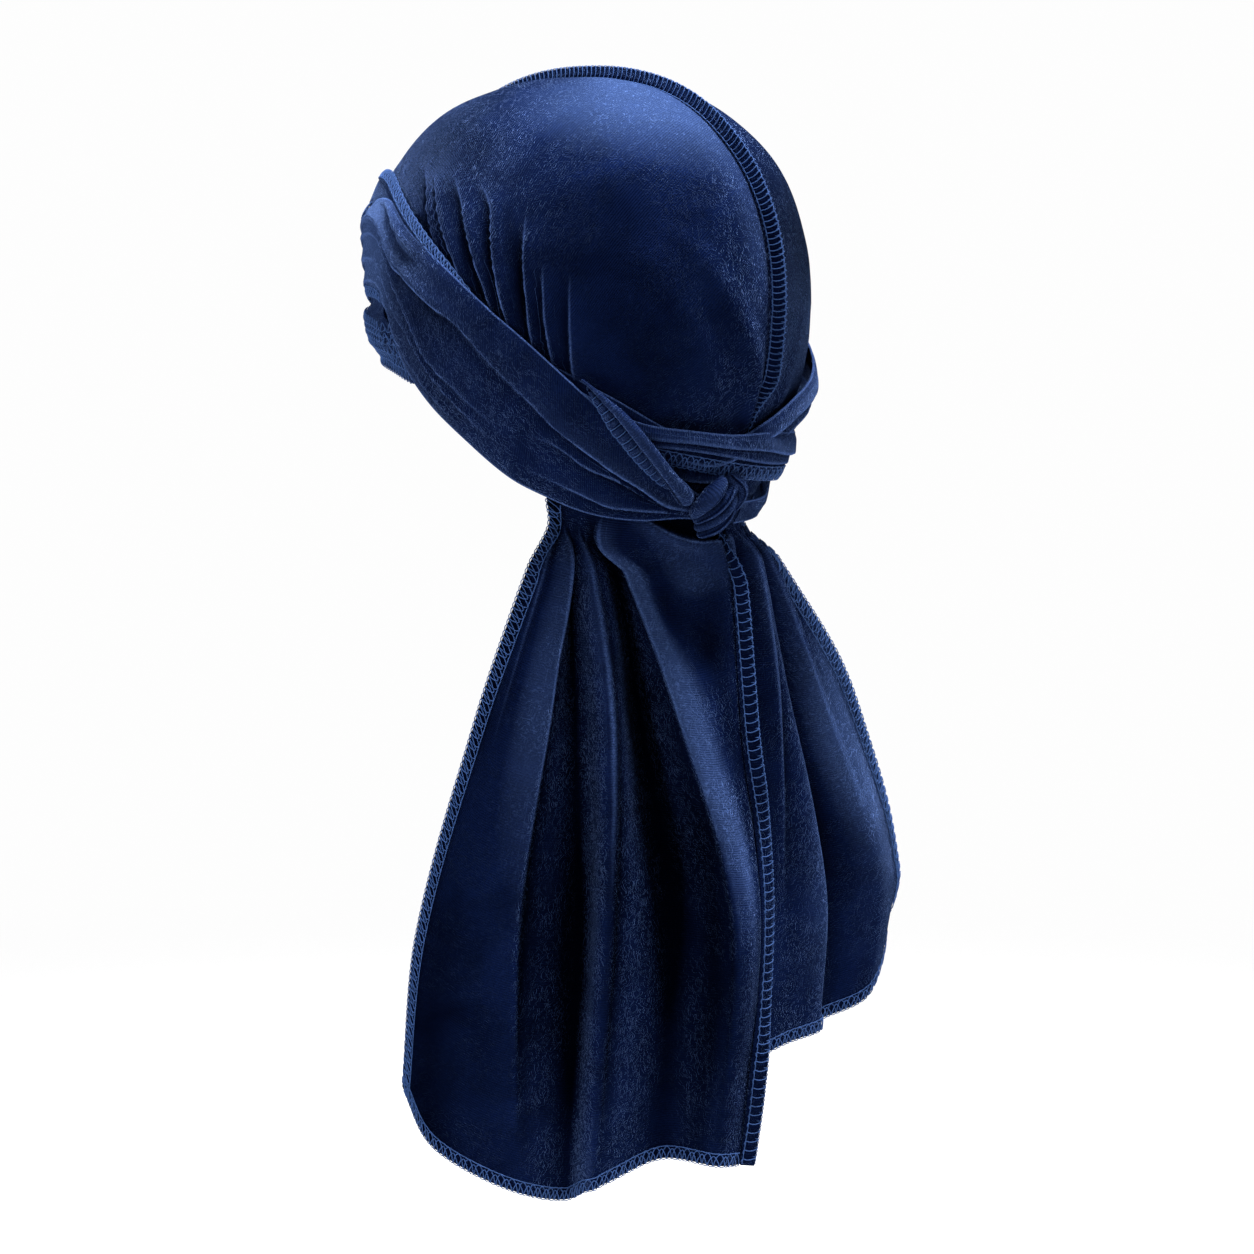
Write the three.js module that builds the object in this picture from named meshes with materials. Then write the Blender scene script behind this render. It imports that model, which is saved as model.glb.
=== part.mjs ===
// Velvet durag, tied for wearing: two crown-and-tail panels joined by a standing centre seam,
// a stitched front hem, and two long straps wrapped round the head and knotted at the nape.
//
// Frame: millimetres, +Z up. The origin is the inner top of the crown, where the head touches it.
// The front of the head faces -Y and the wearer's left is +X. Angles round the head are measured
// in degrees from +X (left ear) through +Y (nape), so the brow is at -90 or 270.

import * as THREE from "three";

// ---------------------------------------------------------------- driving dimensions (mm)

const HALF_WIDTH = 77.5;        // head form, ear to ear
const HALF_LENGTH = 96.5;       // head form, brow to nape
const CROWN_DEPTH = 88;         // from the top down to the widest level
const CROWN_ROUNDNESS = 2.3;    // 2 is an ellipse, more is boxier
const FOREHEAD_FLATNESS = 0.06; // share by which the forehead falls inside that form
const SEAM_DRIFT = 3;           // degrees that the cap is turned on the head, to the wearer's right
const CLOTH = 1.2;              // wall of the crown and tail panels
const STRAP_CLOTH = 1.0;        // wall of a strap
const SEAM_CLOTH = 1.8;         // the two seam allowances sewn face to face
const HEM_CLOTH = 0.8;          // turned-up front hem
const HEM_WIDTH = 16;
const PIECE_GAP = 0.3;          // between neighbouring pieces
const FIRST_LAYER = 1.9;        // lift of the innermost strap layer above the head form
const LAYER_PITCH = 1.55;       // from one strap layer to the next
const STATION_STEP = 7.5;       // degrees between the stations of a strap
const STRAP_COLUMNS = 6;        // facets across a strap
const CROWN_ROWS = 24;          // ribs of a panel from the front hem to the nape
const TAIL_ROWS = 14;           // rows of a panel from the nape to the bottom hem
const TAIL_CROWDING = 1.5;      // rows of the tail lie closer together at its top
const ROLL_SIDES = 8;
const HEIGHT_PER_DEGREE = 1.5;  // chart of the head form below its widest level
const BROW_HEIGHT = -112;       // front hem at the middle of the brow
const NAPE_HEIGHT = -160;       // where the crown ends and the tail begins, under the wraps
const TUCK_DROP = 13;           // below the nape the tail still follows the head this far
const TUCK_LIFT = 1.5;
const SEAM_LEAN = 20;           // degrees that the free seam leans to the wearer's right
const SEAM_BASE = 1.8;          // foot of the seam above the head form
const SEAM_FIRST_ROW = 2;       // the seam's brow end is caught under the front hem
const SEAM_PRESSED = 1.2;       // stand of the seam where the hem or the wraps press it flat
const SEAM_FREE = 6;            // its stand at the back of the crown, where it leans most
const FOREHEAD_TOP = 40;        // the flat of the forehead starts this far below the top
const GATHER_START = 0.6;       // share of the way to the nape where the tail's folds begin
const HEM_REACH = 3;            // how quickly the ribs forget the line of the front hem
const ROLL_STATIONS = 3;        // rings for each row of a roll's table

const VELVET = 0x16296b;
const VELVET_SHADE = 0x11215a;
const VELVET_EDGE = 0x223a86;

// Outline of the head form under its widest level: share of the half width and half length.
const FORM_BELOW = [
  { height: -88, share: 1.0 },
  { height: -105, share: 0.985 },
  { height: -123, share: 0.94 },
  { height: -138, share: 0.875 },
  { height: -155, share: 0.8 },
  { height: -175, share: 0.71 },
  { height: -195, share: 0.65 },
  { height: -225, share: 0.6 },
];

// Free edge of the front hem, from the middle of the brow back to the strap's seam.
const HEM_EDGE = [
  { angle: -90, height: -112 },
  { angle: -60, height: -113 },
  { angle: -35, height: -115.5 },
  { angle: -19, height: -119 },
];

// Side edge of each panel, from the strap's seam past the ear to the top of the tail.
// The right edge is given as its mirror image, on the left.
const SIDE_EDGE = {
  left: [
    { angle: -19, height: -119 },
    { angle: -6, height: -121 },
    { angle: 6, height: -130 },
    { angle: 15, height: -145 },
    { angle: 22, height: -160 },
  ],
  right: [
    { angle: -19, height: -119 },
    { angle: -2, height: -123 },
    { angle: 18, height: -137 },
    { angle: 40, height: -151 },
    { angle: 68, height: -163 },
  ],
};

// How far the centre seam stands up: over the crown by the turn over its midline, from the brow
// (negative) to the nape, and down the tail by the drop below the crown's top.
const SEAM_OVER_CROWN = [
  { turn: -100, stand: SEAM_PRESSED },
  { turn: -56, stand: SEAM_PRESSED },
  { turn: -44, stand: 2 },
  { turn: -20, stand: 3.2 },
  { turn: 10, stand: 4.6 },
  { turn: 40, stand: 5.6 },
  { turn: 107, stand: SEAM_FREE },
  { turn: 117, stand: SEAM_PRESSED },
  { turn: 140, stand: SEAM_PRESSED },
];
const SEAM_DOWN_TAIL = [
  { drop: 160, stand: SEAM_PRESSED },
  { drop: 180, stand: SEAM_PRESSED },
  { drop: 198, stand: SEAM_FREE },
  { drop: 400, stand: 7 },
  { drop: 440, stand: 5 },
];

// The tail in plan at four heights, one row for each fold, from the seam out to the free edge.
// steps is the number of facets from the fold before it, and share its place where the crown ends.
const TAIL_HEIGHTS = { top: -190, upper: -250, lower: -330 };
const TAIL_FOLDS = {
  left: [
    { fold: "seam", steps: 0, share: 0, top: [3.5, 77], upper: [6.5, 84.5],
      lower: [5.5, 93.5], hem: [13.5, 90.5, -427] },
    { fold: "crest_3", steps: 2, share: 0.34, top: [33, 50], upper: [27, 75],
      lower: [18, 93], hem: [26, 90, -425] },
    { fold: "valley_2", steps: 3, share: 0.48, top: [35, 44], upper: [29, 52],
      lower: [25, 65], hem: [32, 66, -425] },
    { fold: "crest_2", steps: 3, share: 0.62, top: [48, 44], upper: [51, 57],
      lower: [56, 60], hem: [61, 55, -433] },
    { fold: "valley_1", steps: 2, share: 0.7, top: [50, 34], upper: [49, 37],
      lower: [52, 42], hem: [60, 41, -440] },
    { fold: "crest_1", steps: 3, share: 0.82, top: [56, 38], upper: [69, 37],
      lower: [80, 32], hem: [83, 34, -433] },
    { fold: "corner", steps: 2, share: 0.92, top: [62, 31], upper: [79, 22],
      lower: [95, 11], hem: [102, 7, -415] },
    { fold: "edge", steps: 1, share: 1, top: [66, 26], upper: [84, 14],
      lower: [102, 0.5], hem: [110, -1, -391] },
  ],
  right: [
    { fold: "seam", steps: 0, share: 0, top: [3.5, 77], upper: [6.5, 84.5],
      lower: [5.5, 93.5], hem: [13.5, 90.5, -427] },
    { fold: "valley_4", steps: 4, share: 0.2, top: [-5, 70], upper: [-11, 62],
      lower: [-15, 56], hem: [-13, 58, -408] },
    { fold: "crest_4", steps: 3, share: 0.4, top: [-14, 76], upper: [-35, 70],
      lower: [-45, 66], hem: [-47, 64, -395] },
    { fold: "crest_5", steps: 2, share: 0.6, top: [-19, 73], upper: [-42, 69],
      lower: [-66, 70], hem: [-70, 68, -392] },
    { fold: "valley_5", steps: 2, share: 0.72, top: [-22, 67], upper: [-46, 60],
      lower: [-76, 60], hem: [-80, 60, -391] },
    { fold: "crest_6", steps: 3, share: 0.87, top: [-27, 74], upper: [-62, 73],
      lower: [-100, 75], hem: [-100, 71, -382] },
    { fold: "edge", steps: 2, share: 1, top: [-31, 75], upper: [-81, 75],
      lower: [-117, 73], hem: [-110, 72, -350] },
  ],
};

// Each strap, from its sewn end to the knot: angle travelled round the head, height of its middle,
// height of the band, and the layer that it lies in, counted outwards. The right strap's angles
// are those of its mirror image.
const STRAP_LEFT = [
  { angle: -15, height: -103, width: 26, layer: 0 },
  { angle: 0, height: -107, width: 30, layer: 0 },
  { angle: 20, height: -120, width: 34, layer: 0 },
  { angle: 40, height: -134, width: 30, layer: 0 },
  { angle: 60, height: -146, width: 24, layer: 0.3 },
  { angle: 75, height: -149, width: 20, layer: 1 },
  { angle: 90, height: -140, width: 18, layer: 1.3 },
  { angle: 105, height: -130, width: 18, layer: 1.6 },
  { angle: 120, height: -123, width: 18, layer: 1.6 },
  { angle: 140, height: -115, width: 25, layer: 1 },
  { angle: 165, height: -108, width: 30, layer: 1 },
  { angle: 190, height: -99, width: 30, layer: 1 },
  { angle: 215, height: -90, width: 28, layer: 1 },
  { angle: 240, height: -89, width: 24, layer: 1 },
  { angle: 255, height: -90, width: 22, layer: 1 },
  { angle: 270, height: -90, width: 22, layer: 1.5 },
  { angle: 285, height: -84, width: 25, layer: 2 },
  { angle: 300, height: -74, width: 30, layer: 2 },
  { angle: 315, height: -69, width: 34, layer: 2 },
  { angle: 332, height: -72, width: 36, layer: 2 },
  { angle: 344, height: -88, width: 50, layer: 2 },
  { angle: 358, height: -103, width: 62, layer: 2 },
  { angle: 372, height: -119, width: 64, layer: 2 },
  { angle: 384, height: -132, width: 54, layer: 2 },
  { angle: 395, height: -142, width: 44, layer: 2.6 },
  { angle: 404, height: -148, width: 36, layer: 3 },
  { angle: 414, height: -154, width: 26, layer: 3 },
  { angle: 426, height: -160, width: 12.5, layer: 3.1 },
  { angle: 435, height: -163.5, width: 8, layer: 3.3 },
];
const STRAP_RIGHT = [
  { angle: -15, height: -103, width: 26, layer: 0 },
  { angle: 0, height: -107, width: 30, layer: 0 },
  { angle: 20, height: -118, width: 30, layer: 0 },
  { angle: 45, height: -140, width: 23, layer: 0 },
  { angle: 58, height: -147.5, width: 22, layer: 1.8 },
  { angle: 75, height: -145.5, width: 22, layer: 3.2 },
  { angle: 90, height: -142.5, width: 20, layer: 3 },
  { angle: 103, height: -142, width: 18, layer: 2.4 },
  { angle: 120, height: -138, width: 14, layer: 2 },
  { angle: 130, height: -137, width: 14, layer: 1.9 },
  { angle: 140, height: -134, width: 18, layer: 1.2 },
  { angle: 160, height: -118, width: 26, layer: 1 },
  { angle: 180, height: -90, width: 29, layer: 1 },
  { angle: 196, height: -72, width: 31, layer: 1 },
  { angle: 213, height: -58.5, width: 31, layer: 1 },
  { angle: 230, height: -54, width: 30, layer: 1 },
  { angle: 250, height: -55, width: 28, layer: 1 },
  { angle: 270, height: -58, width: 28, layer: 1.5 },
  { angle: 285, height: -60, width: 32, layer: 2 },
  { angle: 300, height: -64, width: 36, layer: 2 },
  { angle: 325, height: -72, width: 42, layer: 2 },
  { angle: 345, height: -92, width: 52, layer: 2 },
  { angle: 360, height: -120, width: 52, layer: 2 },
  { angle: 380, height: -146, width: 40, layer: 2 },
  { angle: 400, height: -161, width: 22, layer: 1.8 },
  { angle: 420, height: -166, width: 10, layer: 1.6 },
  { angle: 450, height: -166, width: 9, layer: 2.6 },
];

// Rolls of gathered strap: the rolled upper edge of the left strap, and the strands of the knot.
const ROLLS = {
  strap_roll: [
    { angle: 38.5, height: -119.5, lift: 8.8, breadth: 3, depth: 2 },
    { angle: 45.5, height: -130, lift: 9.8, breadth: 9, depth: 3.6 },
    { angle: 54, height: -141, lift: 10.2, breadth: 10.5, depth: 4.2 },
    { angle: 62, height: -152, lift: 10.5, breadth: 9, depth: 4.6 },
    { angle: 66.5, height: -158.5, lift: 11, breadth: 4, depth: 3 },
  ],
  knot_outer: [
    { angle: 80, height: -153.5, lift: 10.5, breadth: 5, depth: 5 },
    { angle: 76.5, height: -157.5, lift: 12.2, breadth: 6.6, depth: 7.4 },
    { angle: 71, height: -163.5, lift: 12.4, breadth: 6.6, depth: 7.4 },
    { angle: 66, height: -169.5, lift: 10.8, breadth: 4.6, depth: 5 },
  ],
  knot_middle: [
    { angle: 81.5, height: -160.5, lift: 9.5, breadth: 4.4, depth: 4.6 },
    { angle: 76, height: -167, lift: 11.6, breadth: 5, depth: 6.4 },
    { angle: 70.5, height: -174, lift: 10, breadth: 4, depth: 4.6 },
  ],
  knot_inner: [
    { angle: 81.5, height: -167, lift: 9.5, breadth: 4.2, depth: 4.6 },
    { angle: 78.6, height: -171, lift: 11, breadth: 4.6, depth: 5.4 },
    { angle: 74.8, height: -176, lift: 10, breadth: 4, depth: 4.4 },
  ],
  knot_return: [
    { angle: 85, height: -153.5, lift: 9, breadth: 4, depth: 4 },
    { angle: 88, height: -158, lift: 9.6, breadth: 4.6, depth: 5 },
    { angle: 87.5, height: -164.5, lift: 9.4, breadth: 4.2, depth: 4.4 },
  ],
};

// ---------------------------------------------------------------- interpolation

const lerp = THREE.MathUtils.lerp;
const clamp = THREE.MathUtils.clamp;
const smooth = THREE.MathUtils.smoothstep;
const radians = THREE.MathUtils.degToRad;
const degrees = THREE.MathUtils.radToDeg;

// Smooth value of one column of a table, at a place along another column that rises row by row.
function column(rows, along, name, at) {
  const last = rows.length - 1;
  const place = clamp(at, rows[0][along], rows[last][along]);
  let i = 0;
  while (i < last - 1 && place > rows[i + 1][along]) {
    i += 1;
  }
  const slope = (k) => {
    const before = rows[Math.max(k - 1, 0)];
    const after = rows[Math.min(k + 1, last)];
    return (after[name] - before[name]) / (after[along] - before[along]);
  };
  const span = rows[i + 1][along] - rows[i][along];
  const t = (place - rows[i][along]) / span;
  const bow = slope(i) * t * (1 - t) * (1 - t) - slope(i + 1) * t * t * (1 - t);
  return lerp(rows[i][name], rows[i + 1][name], t * t * (3 - 2 * t)) + span * bow;
}

// ---------------------------------------------------------------- head form

const FORM_RISING = [...FORM_BELOW].reverse();

function formShare(height) {
  if (height < -CROWN_DEPTH) {
    return column(FORM_RISING, "height", "share", height);
  }
  const rise = clamp((height + CROWN_DEPTH) / CROWN_DEPTH, 0, 1);
  return (1 - rise ** CROWN_ROUNDNESS) ** (1 / CROWN_ROUNDNESS);
}

// The forehead rises straight, so below the hairline it lies inside the rounded form.
function foreheadShare(angle, height) {
  const front = smooth(-Math.sin(radians(angle)), 0.1, 0.6);
  return 1 - FOREHEAD_FLATNESS * front * smooth(-height, FOREHEAD_TOP, CROWN_DEPTH);
}

function formNormal(point) {
  const normal = new THREE.Vector3(point.x / HALF_WIDTH ** 2, point.y / HALF_LENGTH ** 2, 0);
  const out = Math.hypot(point.x / HALF_WIDTH, point.y / HALF_LENGTH);
  if (point.z < -CROWN_DEPTH) {
    normal.divideScalar(out);
    normal.z = (formShare(point.z - 1) - formShare(point.z + 1)) / 2;
  } else {
    normal.multiplyScalar(Math.max(out, 1e-6) ** (CROWN_ROUNDNESS - 2));
    normal.z = ((point.z + CROWN_DEPTH) / CROWN_DEPTH) ** (CROWN_ROUNDNESS - 1) / CROWN_DEPTH;
  }
  return normal.normalize();
}

// Point on the head form at an angle round the head and a height, lifted off its surface.
function formPoint(angle, height, lift = 0) {
  const share = formShare(height) * foreheadShare(angle, height);
  const x = HALF_WIDTH * share * Math.cos(radians(angle));
  const y = HALF_LENGTH * share * Math.sin(radians(angle));
  const point = new THREE.Vector3(x, y, height);
  return point.addScaledVector(formNormal(point), lift);
}

// The form is also charted by directions of a unit sphere, so that ribs can run across its top.
function polarOfHeight(height) {
  if (height < -CROWN_DEPTH) {
    return 90 + (-CROWN_DEPTH - height) / HEIGHT_PER_DEGREE;
  }
  return degrees(Math.acos(((height + CROWN_DEPTH) / CROWN_DEPTH) ** (CROWN_ROUNDNESS / 2)));
}

function direction(angle, height) {
  const polar = radians(polarOfHeight(height));
  const flat = Math.sin(polar);
  const turn = radians(angle);
  return new THREE.Vector3(flat * Math.cos(turn), flat * Math.sin(turn), Math.cos(polar));
}

function pointOfDirection(way) {
  const polar = degrees(Math.acos(clamp(way.z, -1, 1)));
  const angle = degrees(Math.atan2(way.y, way.x));
  const rise = Math.max(way.z, 0) ** (2 / CROWN_ROUNDNESS) * CROWN_DEPTH;
  const drop = Math.max(polar - 90, 0) * HEIGHT_PER_DEGREE;
  return formPoint(angle, -CROWN_DEPTH + rise - drop);
}

// Direction on the midline, from the brow (negative turns) over the top to the nape.
function midline(turn, drift) {
  const flat = Math.sin(radians(turn));
  const aside = radians(drift);
  return new THREE.Vector3(flat * Math.sin(aside), flat * Math.cos(aside), Math.cos(radians(turn)));
}

function arcBetween(from, to, t) {
  const whole = from.angleTo(to);
  if (whole < 1e-6) {
    return from.clone();
  }
  const start = Math.sin((1 - t) * whole) / Math.sin(whole);
  const end = Math.sin(t * whole) / Math.sin(whole);
  return from.clone().multiplyScalar(start).addScaledVector(to, end);
}

// ---------------------------------------------------------------- closed solids from grids

// Closed solid between two grids of points of equal size, with a rim round their four sides.
function slab(outer, inner) {
  const rows = outer.length;
  const columns = outer[0].length;
  const points = [...outer.flat(), ...inner.flat()];
  const index = [];
  const offset = rows * columns;
  const quad = (a, b, c, d) => index.push(a, b, c, a, c, d);
  for (let i = 0; i < rows - 1; i += 1) {
    for (let j = 0; j < columns - 1; j += 1) {
      const a = i * columns + j;
      const b = a + columns;
      quad(a, b, b + 1, a + 1);
      quad(offset + a, offset + a + 1, offset + b + 1, offset + b);
    }
  }
  const rim = (a, b) => quad(a, offset + a, offset + b, b);
  for (let i = 0; i < rows - 1; i += 1) {
    rim(i * columns, (i + 1) * columns);
    rim((i + 2) * columns - 1, (i + 1) * columns - 1);
  }
  for (let j = 0; j < columns - 1; j += 1) {
    rim(j + 1, j);
    rim((rows - 1) * columns + j, (rows - 1) * columns + j + 1);
  }
  return solid(points, index);
}

// Closed solid through rings of points, its two ends filled.
function loft(rings) {
  const sides = rings[0].length;
  const index = [];
  for (let i = 0; i < rings.length - 1; i += 1) {
    for (let j = 0; j < sides; j += 1) {
      const a = i * sides + j;
      const b = i * sides + (j + 1) % sides;
      index.push(a, b, b + sides, a, b + sides, a + sides);
    }
  }
  const end = (rings.length - 1) * sides;
  for (let j = 1; j < sides - 1; j += 1) {
    index.push(0, j + 1, j);
    index.push(end, end + j, end + j + 1);
  }
  return solid(rings.flat(), index);
}

// Turns the faces round if they enclose a negative volume, so that they always point out.
function solid(points, index) {
  let volume = 0;
  for (let i = 0; i < index.length; i += 3) {
    const [a, b, c] = [points[index[i]], points[index[i + 1]], points[index[i + 2]]];
    volume += a.dot(b.clone().cross(c));
  }
  const geometry = new THREE.BufferGeometry().setFromPoints(points);
  geometry.setIndex(volume < 0 ? index.reverse() : index);
  geometry.computeVertexNormals();
  return geometry;
}

// Unit normals of a grid of points, all on the side that the first rows' outward hint names.
function gridNormals(grid, hint) {
  const rows = grid.length;
  const columns = grid[0].length;
  const normals = grid.map((row, i) => row.map((point, j) => {
    const down = grid[Math.min(i + 1, rows - 1)][j].clone().sub(grid[Math.max(i - 1, 0)][j]);
    const across = row[Math.min(j + 1, columns - 1)].clone().sub(row[Math.max(j - 1, 0)]);
    return down.cross(across).normalize();
  }));
  const middle = normals[Math.floor(rows / 4)][Math.floor(columns / 2)];
  if (middle.dot(hint) < 0) {
    normals.flat().forEach((normal) => normal.negate());
  }
  return normals;
}

// ---------------------------------------------------------------- crown and tail panels

const same = (point) => point;
const mirrored = (point) => new THREE.Vector3(-point.x, point.y, point.z);

// Rib of the crown on the left of the head, from the centre seam to the panel's side edge.
function crownRib(edge, v, shares, drift) {
  const browTurn = -polarOfHeight(BROW_HEIGHT);
  const napeTurn = polarOfHeight(NAPE_HEIGHT);
  const edgeAngle = lerp(edge[0].angle, edge.at(-1).angle, v);
  const from = midline(lerp(browTurn, napeTurn, v), drift);
  const to = direction(edgeAngle, column(edge, "angle", "height", edgeAngle));
  const browFrom = midline(browTurn, drift);
  const browTo = direction(edge[0].angle, edge[0].height);
  return shares.map((share) => {
    const hemAngle = lerp(HEM_EDGE[0].angle - drift, HEM_EDGE.at(-1).angle, share);
    const hem = direction(hemAngle, column(HEM_EDGE, "angle", "height", hemAngle));
    const correction = hem.sub(arcBetween(browFrom, browTo, share)).multiplyScalar((1 - v) ** HEM_REACH);
    return pointOfDirection(arcBetween(from, to, share).add(correction).normalize());
  });
}

// Places across a panel: for each column, the fold interval it lies in and its share of the width.
function panelColumns(folds) {
  const places = [{ place: 0, share: 0 }];
  for (let i = 1; i < folds.length; i += 1) {
    for (let k = 1; k <= folds[i].steps; k += 1) {
      const t = k / folds[i].steps;
      places.push({ place: i - 1 + t, share: lerp(folds[i - 1].share, folds[i].share, t) });
    }
  }
  return places;
}

function tailSection(folds, level, height) {
  const points = folds.map((fold) => new THREE.Vector3(...fold[level], height ?? fold[level][2]));
  return new THREE.CatmullRomCurve3(points, false, "centripetal");
}

// Reference surface of one panel: rows from the front hem over the crown and down the tail.
function panelGrid(side) {
  const folds = TAIL_FOLDS[side];
  const places = panelColumns(folds);
  const even = places.map((_, k) => k / (places.length - 1));
  const onSide = side === "left" ? same : mirrored;
  const drift = side === "left" ? SEAM_DRIFT : -SEAM_DRIFT;
  const grid = [];
  for (let i = 0; i <= CROWN_ROWS; i += 1) {
    const v = i / CROWN_ROWS;
    const gather = smooth(v, GATHER_START, 1);
    const shares = places.map(({ share }, k) => lerp(even[k], share, gather));
    grid.push(crownRib(SIDE_EDGE[side], v, shares, drift).map(onSide));
  }
  const nape = grid.at(-1);
  const sections = [
    tailSection(folds, "top", TAIL_HEIGHTS.top),
    tailSection(folds, "upper", TAIL_HEIGHTS.upper),
    tailSection(folds, "lower", TAIL_HEIGHTS.lower),
    tailSection(folds, "hem"),
  ];
  const fall = places.map(({ place }, k) => {
    const start = nape[k];
    const angle = degrees(Math.atan2(start.y / HALF_LENGTH, start.x / HALF_WIDTH));
    const tuck = formPoint(angle, start.z - TUCK_DROP, TUCK_LIFT);
    const hung = sections.map((section) => section.getPoint(place / (folds.length - 1)));
    return [start, tuck, ...hung].map(({ x, y, z }) => ({ x, y, drop: -z }));
  });
  for (let i = 1; i <= TAIL_ROWS; i += 1) {
    grid.push(fall.map((line) => {
      const drop = lerp(line[0].drop, line.at(-1).drop, (i / TAIL_ROWS) ** TAIL_CROWDING);
      const x = column(line, "drop", "x", drop);
      const y = column(line, "drop", "y", drop);
      return new THREE.Vector3(x, y, -drop);
    }));
  }
  return grid;
}

// ---------------------------------------------------------------- straps

// Point on a strap: travel is the angle from its sewn end, across runs from 0 (top) to 1.
function strapPoint(table, travel, across, depth) {
  const height = column(table, "angle", "height", travel);
  const width = column(table, "angle", "width", travel);
  const layer = column(table, "angle", "layer", travel);
  const lift = FIRST_LAYER + LAYER_PITCH * layer + depth;
  return formPoint(travel, height + width * (0.5 - across), lift);
}

function strapGeometry(table, onSide) {
  const first = table[0].angle;
  const stations = Math.round((table.at(-1).angle - first) / STATION_STEP);
  const face = (depth) => Array.from({ length: stations + 1 }, (_, i) => (
    Array.from({ length: STRAP_COLUMNS + 1 }, (__, j) => (
      onSide(strapPoint(table, first + i * STATION_STEP, j / STRAP_COLUMNS, depth))
    ))
  ));
  return slab(face(STRAP_CLOTH), face(0));
}

// Rounded roll of cloth that lies on the wraps, through rows of a table.
function rollGeometry(rows, stations) {
  const curve = new THREE.CatmullRomCurve3(rows.map(({ angle, height, lift }) => (
    formPoint(angle, height, lift)
  )));
  const placed = rows.map((row, k) => ({ ...row, place: k / (rows.length - 1) }));
  const rings = Array.from({ length: stations + 1 }, (_, i) => {
    const t = i / stations;
    const centre = curve.getPoint(t);
    const along = curve.getTangent(t);
    const side = along.clone().cross(formNormal(centre)).normalize();
    const up = side.clone().cross(along).normalize();
    const halfBreadth = column(placed, "place", "breadth", t) / 2;
    const halfDepth = column(placed, "place", "depth", t) / 2;
    return Array.from({ length: ROLL_SIDES }, (__, k) => {
      const turn = 2 * Math.PI * k / ROLL_SIDES;
      return centre.clone()
        .addScaledVector(side, Math.cos(turn) * halfBreadth)
        .addScaledVector(up, Math.sin(turn) * halfDepth);
    });
  });
  return loft(rings);
}

// ---------------------------------------------------------------- front hem and centre seam

function hemGeometry() {
  const steps = 2 * (panelColumns(TAIL_FOLDS.left).length - 1);
  const browEdge = HEM_EDGE[0].angle;
  const reach = HEM_EDGE.at(-1).angle - browEdge;
  const face = (depth) => Array.from({ length: steps + 1 }, (_, i) => {
    const turn = lerp(-reach, reach, i / steps);
    const edge = column(HEM_EDGE, "angle", "height", browEdge + Math.abs(turn));
    const lift = CLOTH + PIECE_GAP + depth;
    return [0, 0.5, 1].map((across) => (
      formPoint(browEdge + turn, edge + PIECE_GAP + across * HEM_WIDTH, lift)
    ));
  });
  return slab(face(HEM_CLOTH), face(0));
}

// Shared line of the two panels: for each row its point, the way out and the way to the left.
function seamLine(left, right, leftNormals, rightNormals) {
  return left.map((row, i) => {
    const before = left[Math.max(i - 1, 0)][0];
    const after = left[Math.min(i + 1, left.length - 1)][0];
    const out = leftNormals[i][0].clone().add(rightNormals[i][0]).normalize();
    const aside = out.clone().cross(after.clone().sub(before)).normalize();
    return { point: row[0].clone(), out, aside: aside.x < 0 ? aside.negate() : aside };
  });
}

function panelGeometry(grid, normals, seam, sign) {
  const inner = grid.map((row, i) => row.map((point, j) => (
    j > 0 ? point : point.clone().addScaledVector(seam[i].aside, sign * PIECE_GAP / 2)
  )));
  const outer = inner.map((row, i) => row.map((point, j) => (
    point.clone().addScaledVector(j > 0 ? normals[i][j] : seam[i].out, CLOTH)
  )));
  return slab(outer, inner);
}

function seamGeometry(seam) {
  const browTurn = -polarOfHeight(BROW_HEIGHT);
  const napeTurn = polarOfHeight(NAPE_HEIGHT);
  const stands = seam.map(({ point }, i) => (
    i <= CROWN_ROWS
      ? column(SEAM_OVER_CROWN, "turn", "stand", lerp(browTurn, napeTurn, i / CROWN_ROWS))
      : column(SEAM_DOWN_TAIL, "drop", "stand", -point.z)
  ));
  const face = (sign) => seam.slice(SEAM_FIRST_ROW).map(({ point, out, aside }, i) => {
    const stand = stands[i + SEAM_FIRST_ROW];
    const lean = radians(SEAM_LEAN * (stand - SEAM_PRESSED) / (SEAM_FREE - SEAM_PRESSED));
    const rise = out.clone().multiplyScalar(Math.cos(lean)).addScaledVector(aside, -Math.sin(lean));
    const across = aside.clone().multiplyScalar(Math.cos(lean)).addScaledVector(out, Math.sin(lean));
    const foot = point.clone().addScaledVector(out, SEAM_BASE);
    return [0, 1].map((share) => (
      foot.clone().addScaledVector(rise, stand * share)
        .addScaledVector(across, sign * SEAM_CLOTH / 2)
    ));
  });
  return slab(face(1), face(-1));
}

// ---------------------------------------------------------------- the durag

function piece(name, geometry, color) {
  const material = new THREE.MeshStandardMaterial({ color, roughness: 0.85, metalness: 0 });
  const mesh = new THREE.Mesh(geometry, material);
  mesh.name = name;
  return mesh;
}

const leftGrid = panelGrid("left");
const rightGrid = panelGrid("right");
const leftNormals = gridNormals(leftGrid, new THREE.Vector3(1, 0, 1));
const rightNormals = gridNormals(rightGrid, new THREE.Vector3(-1, 0, 1));
const seam = seamLine(leftGrid, rightGrid, leftNormals, rightNormals);

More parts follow.
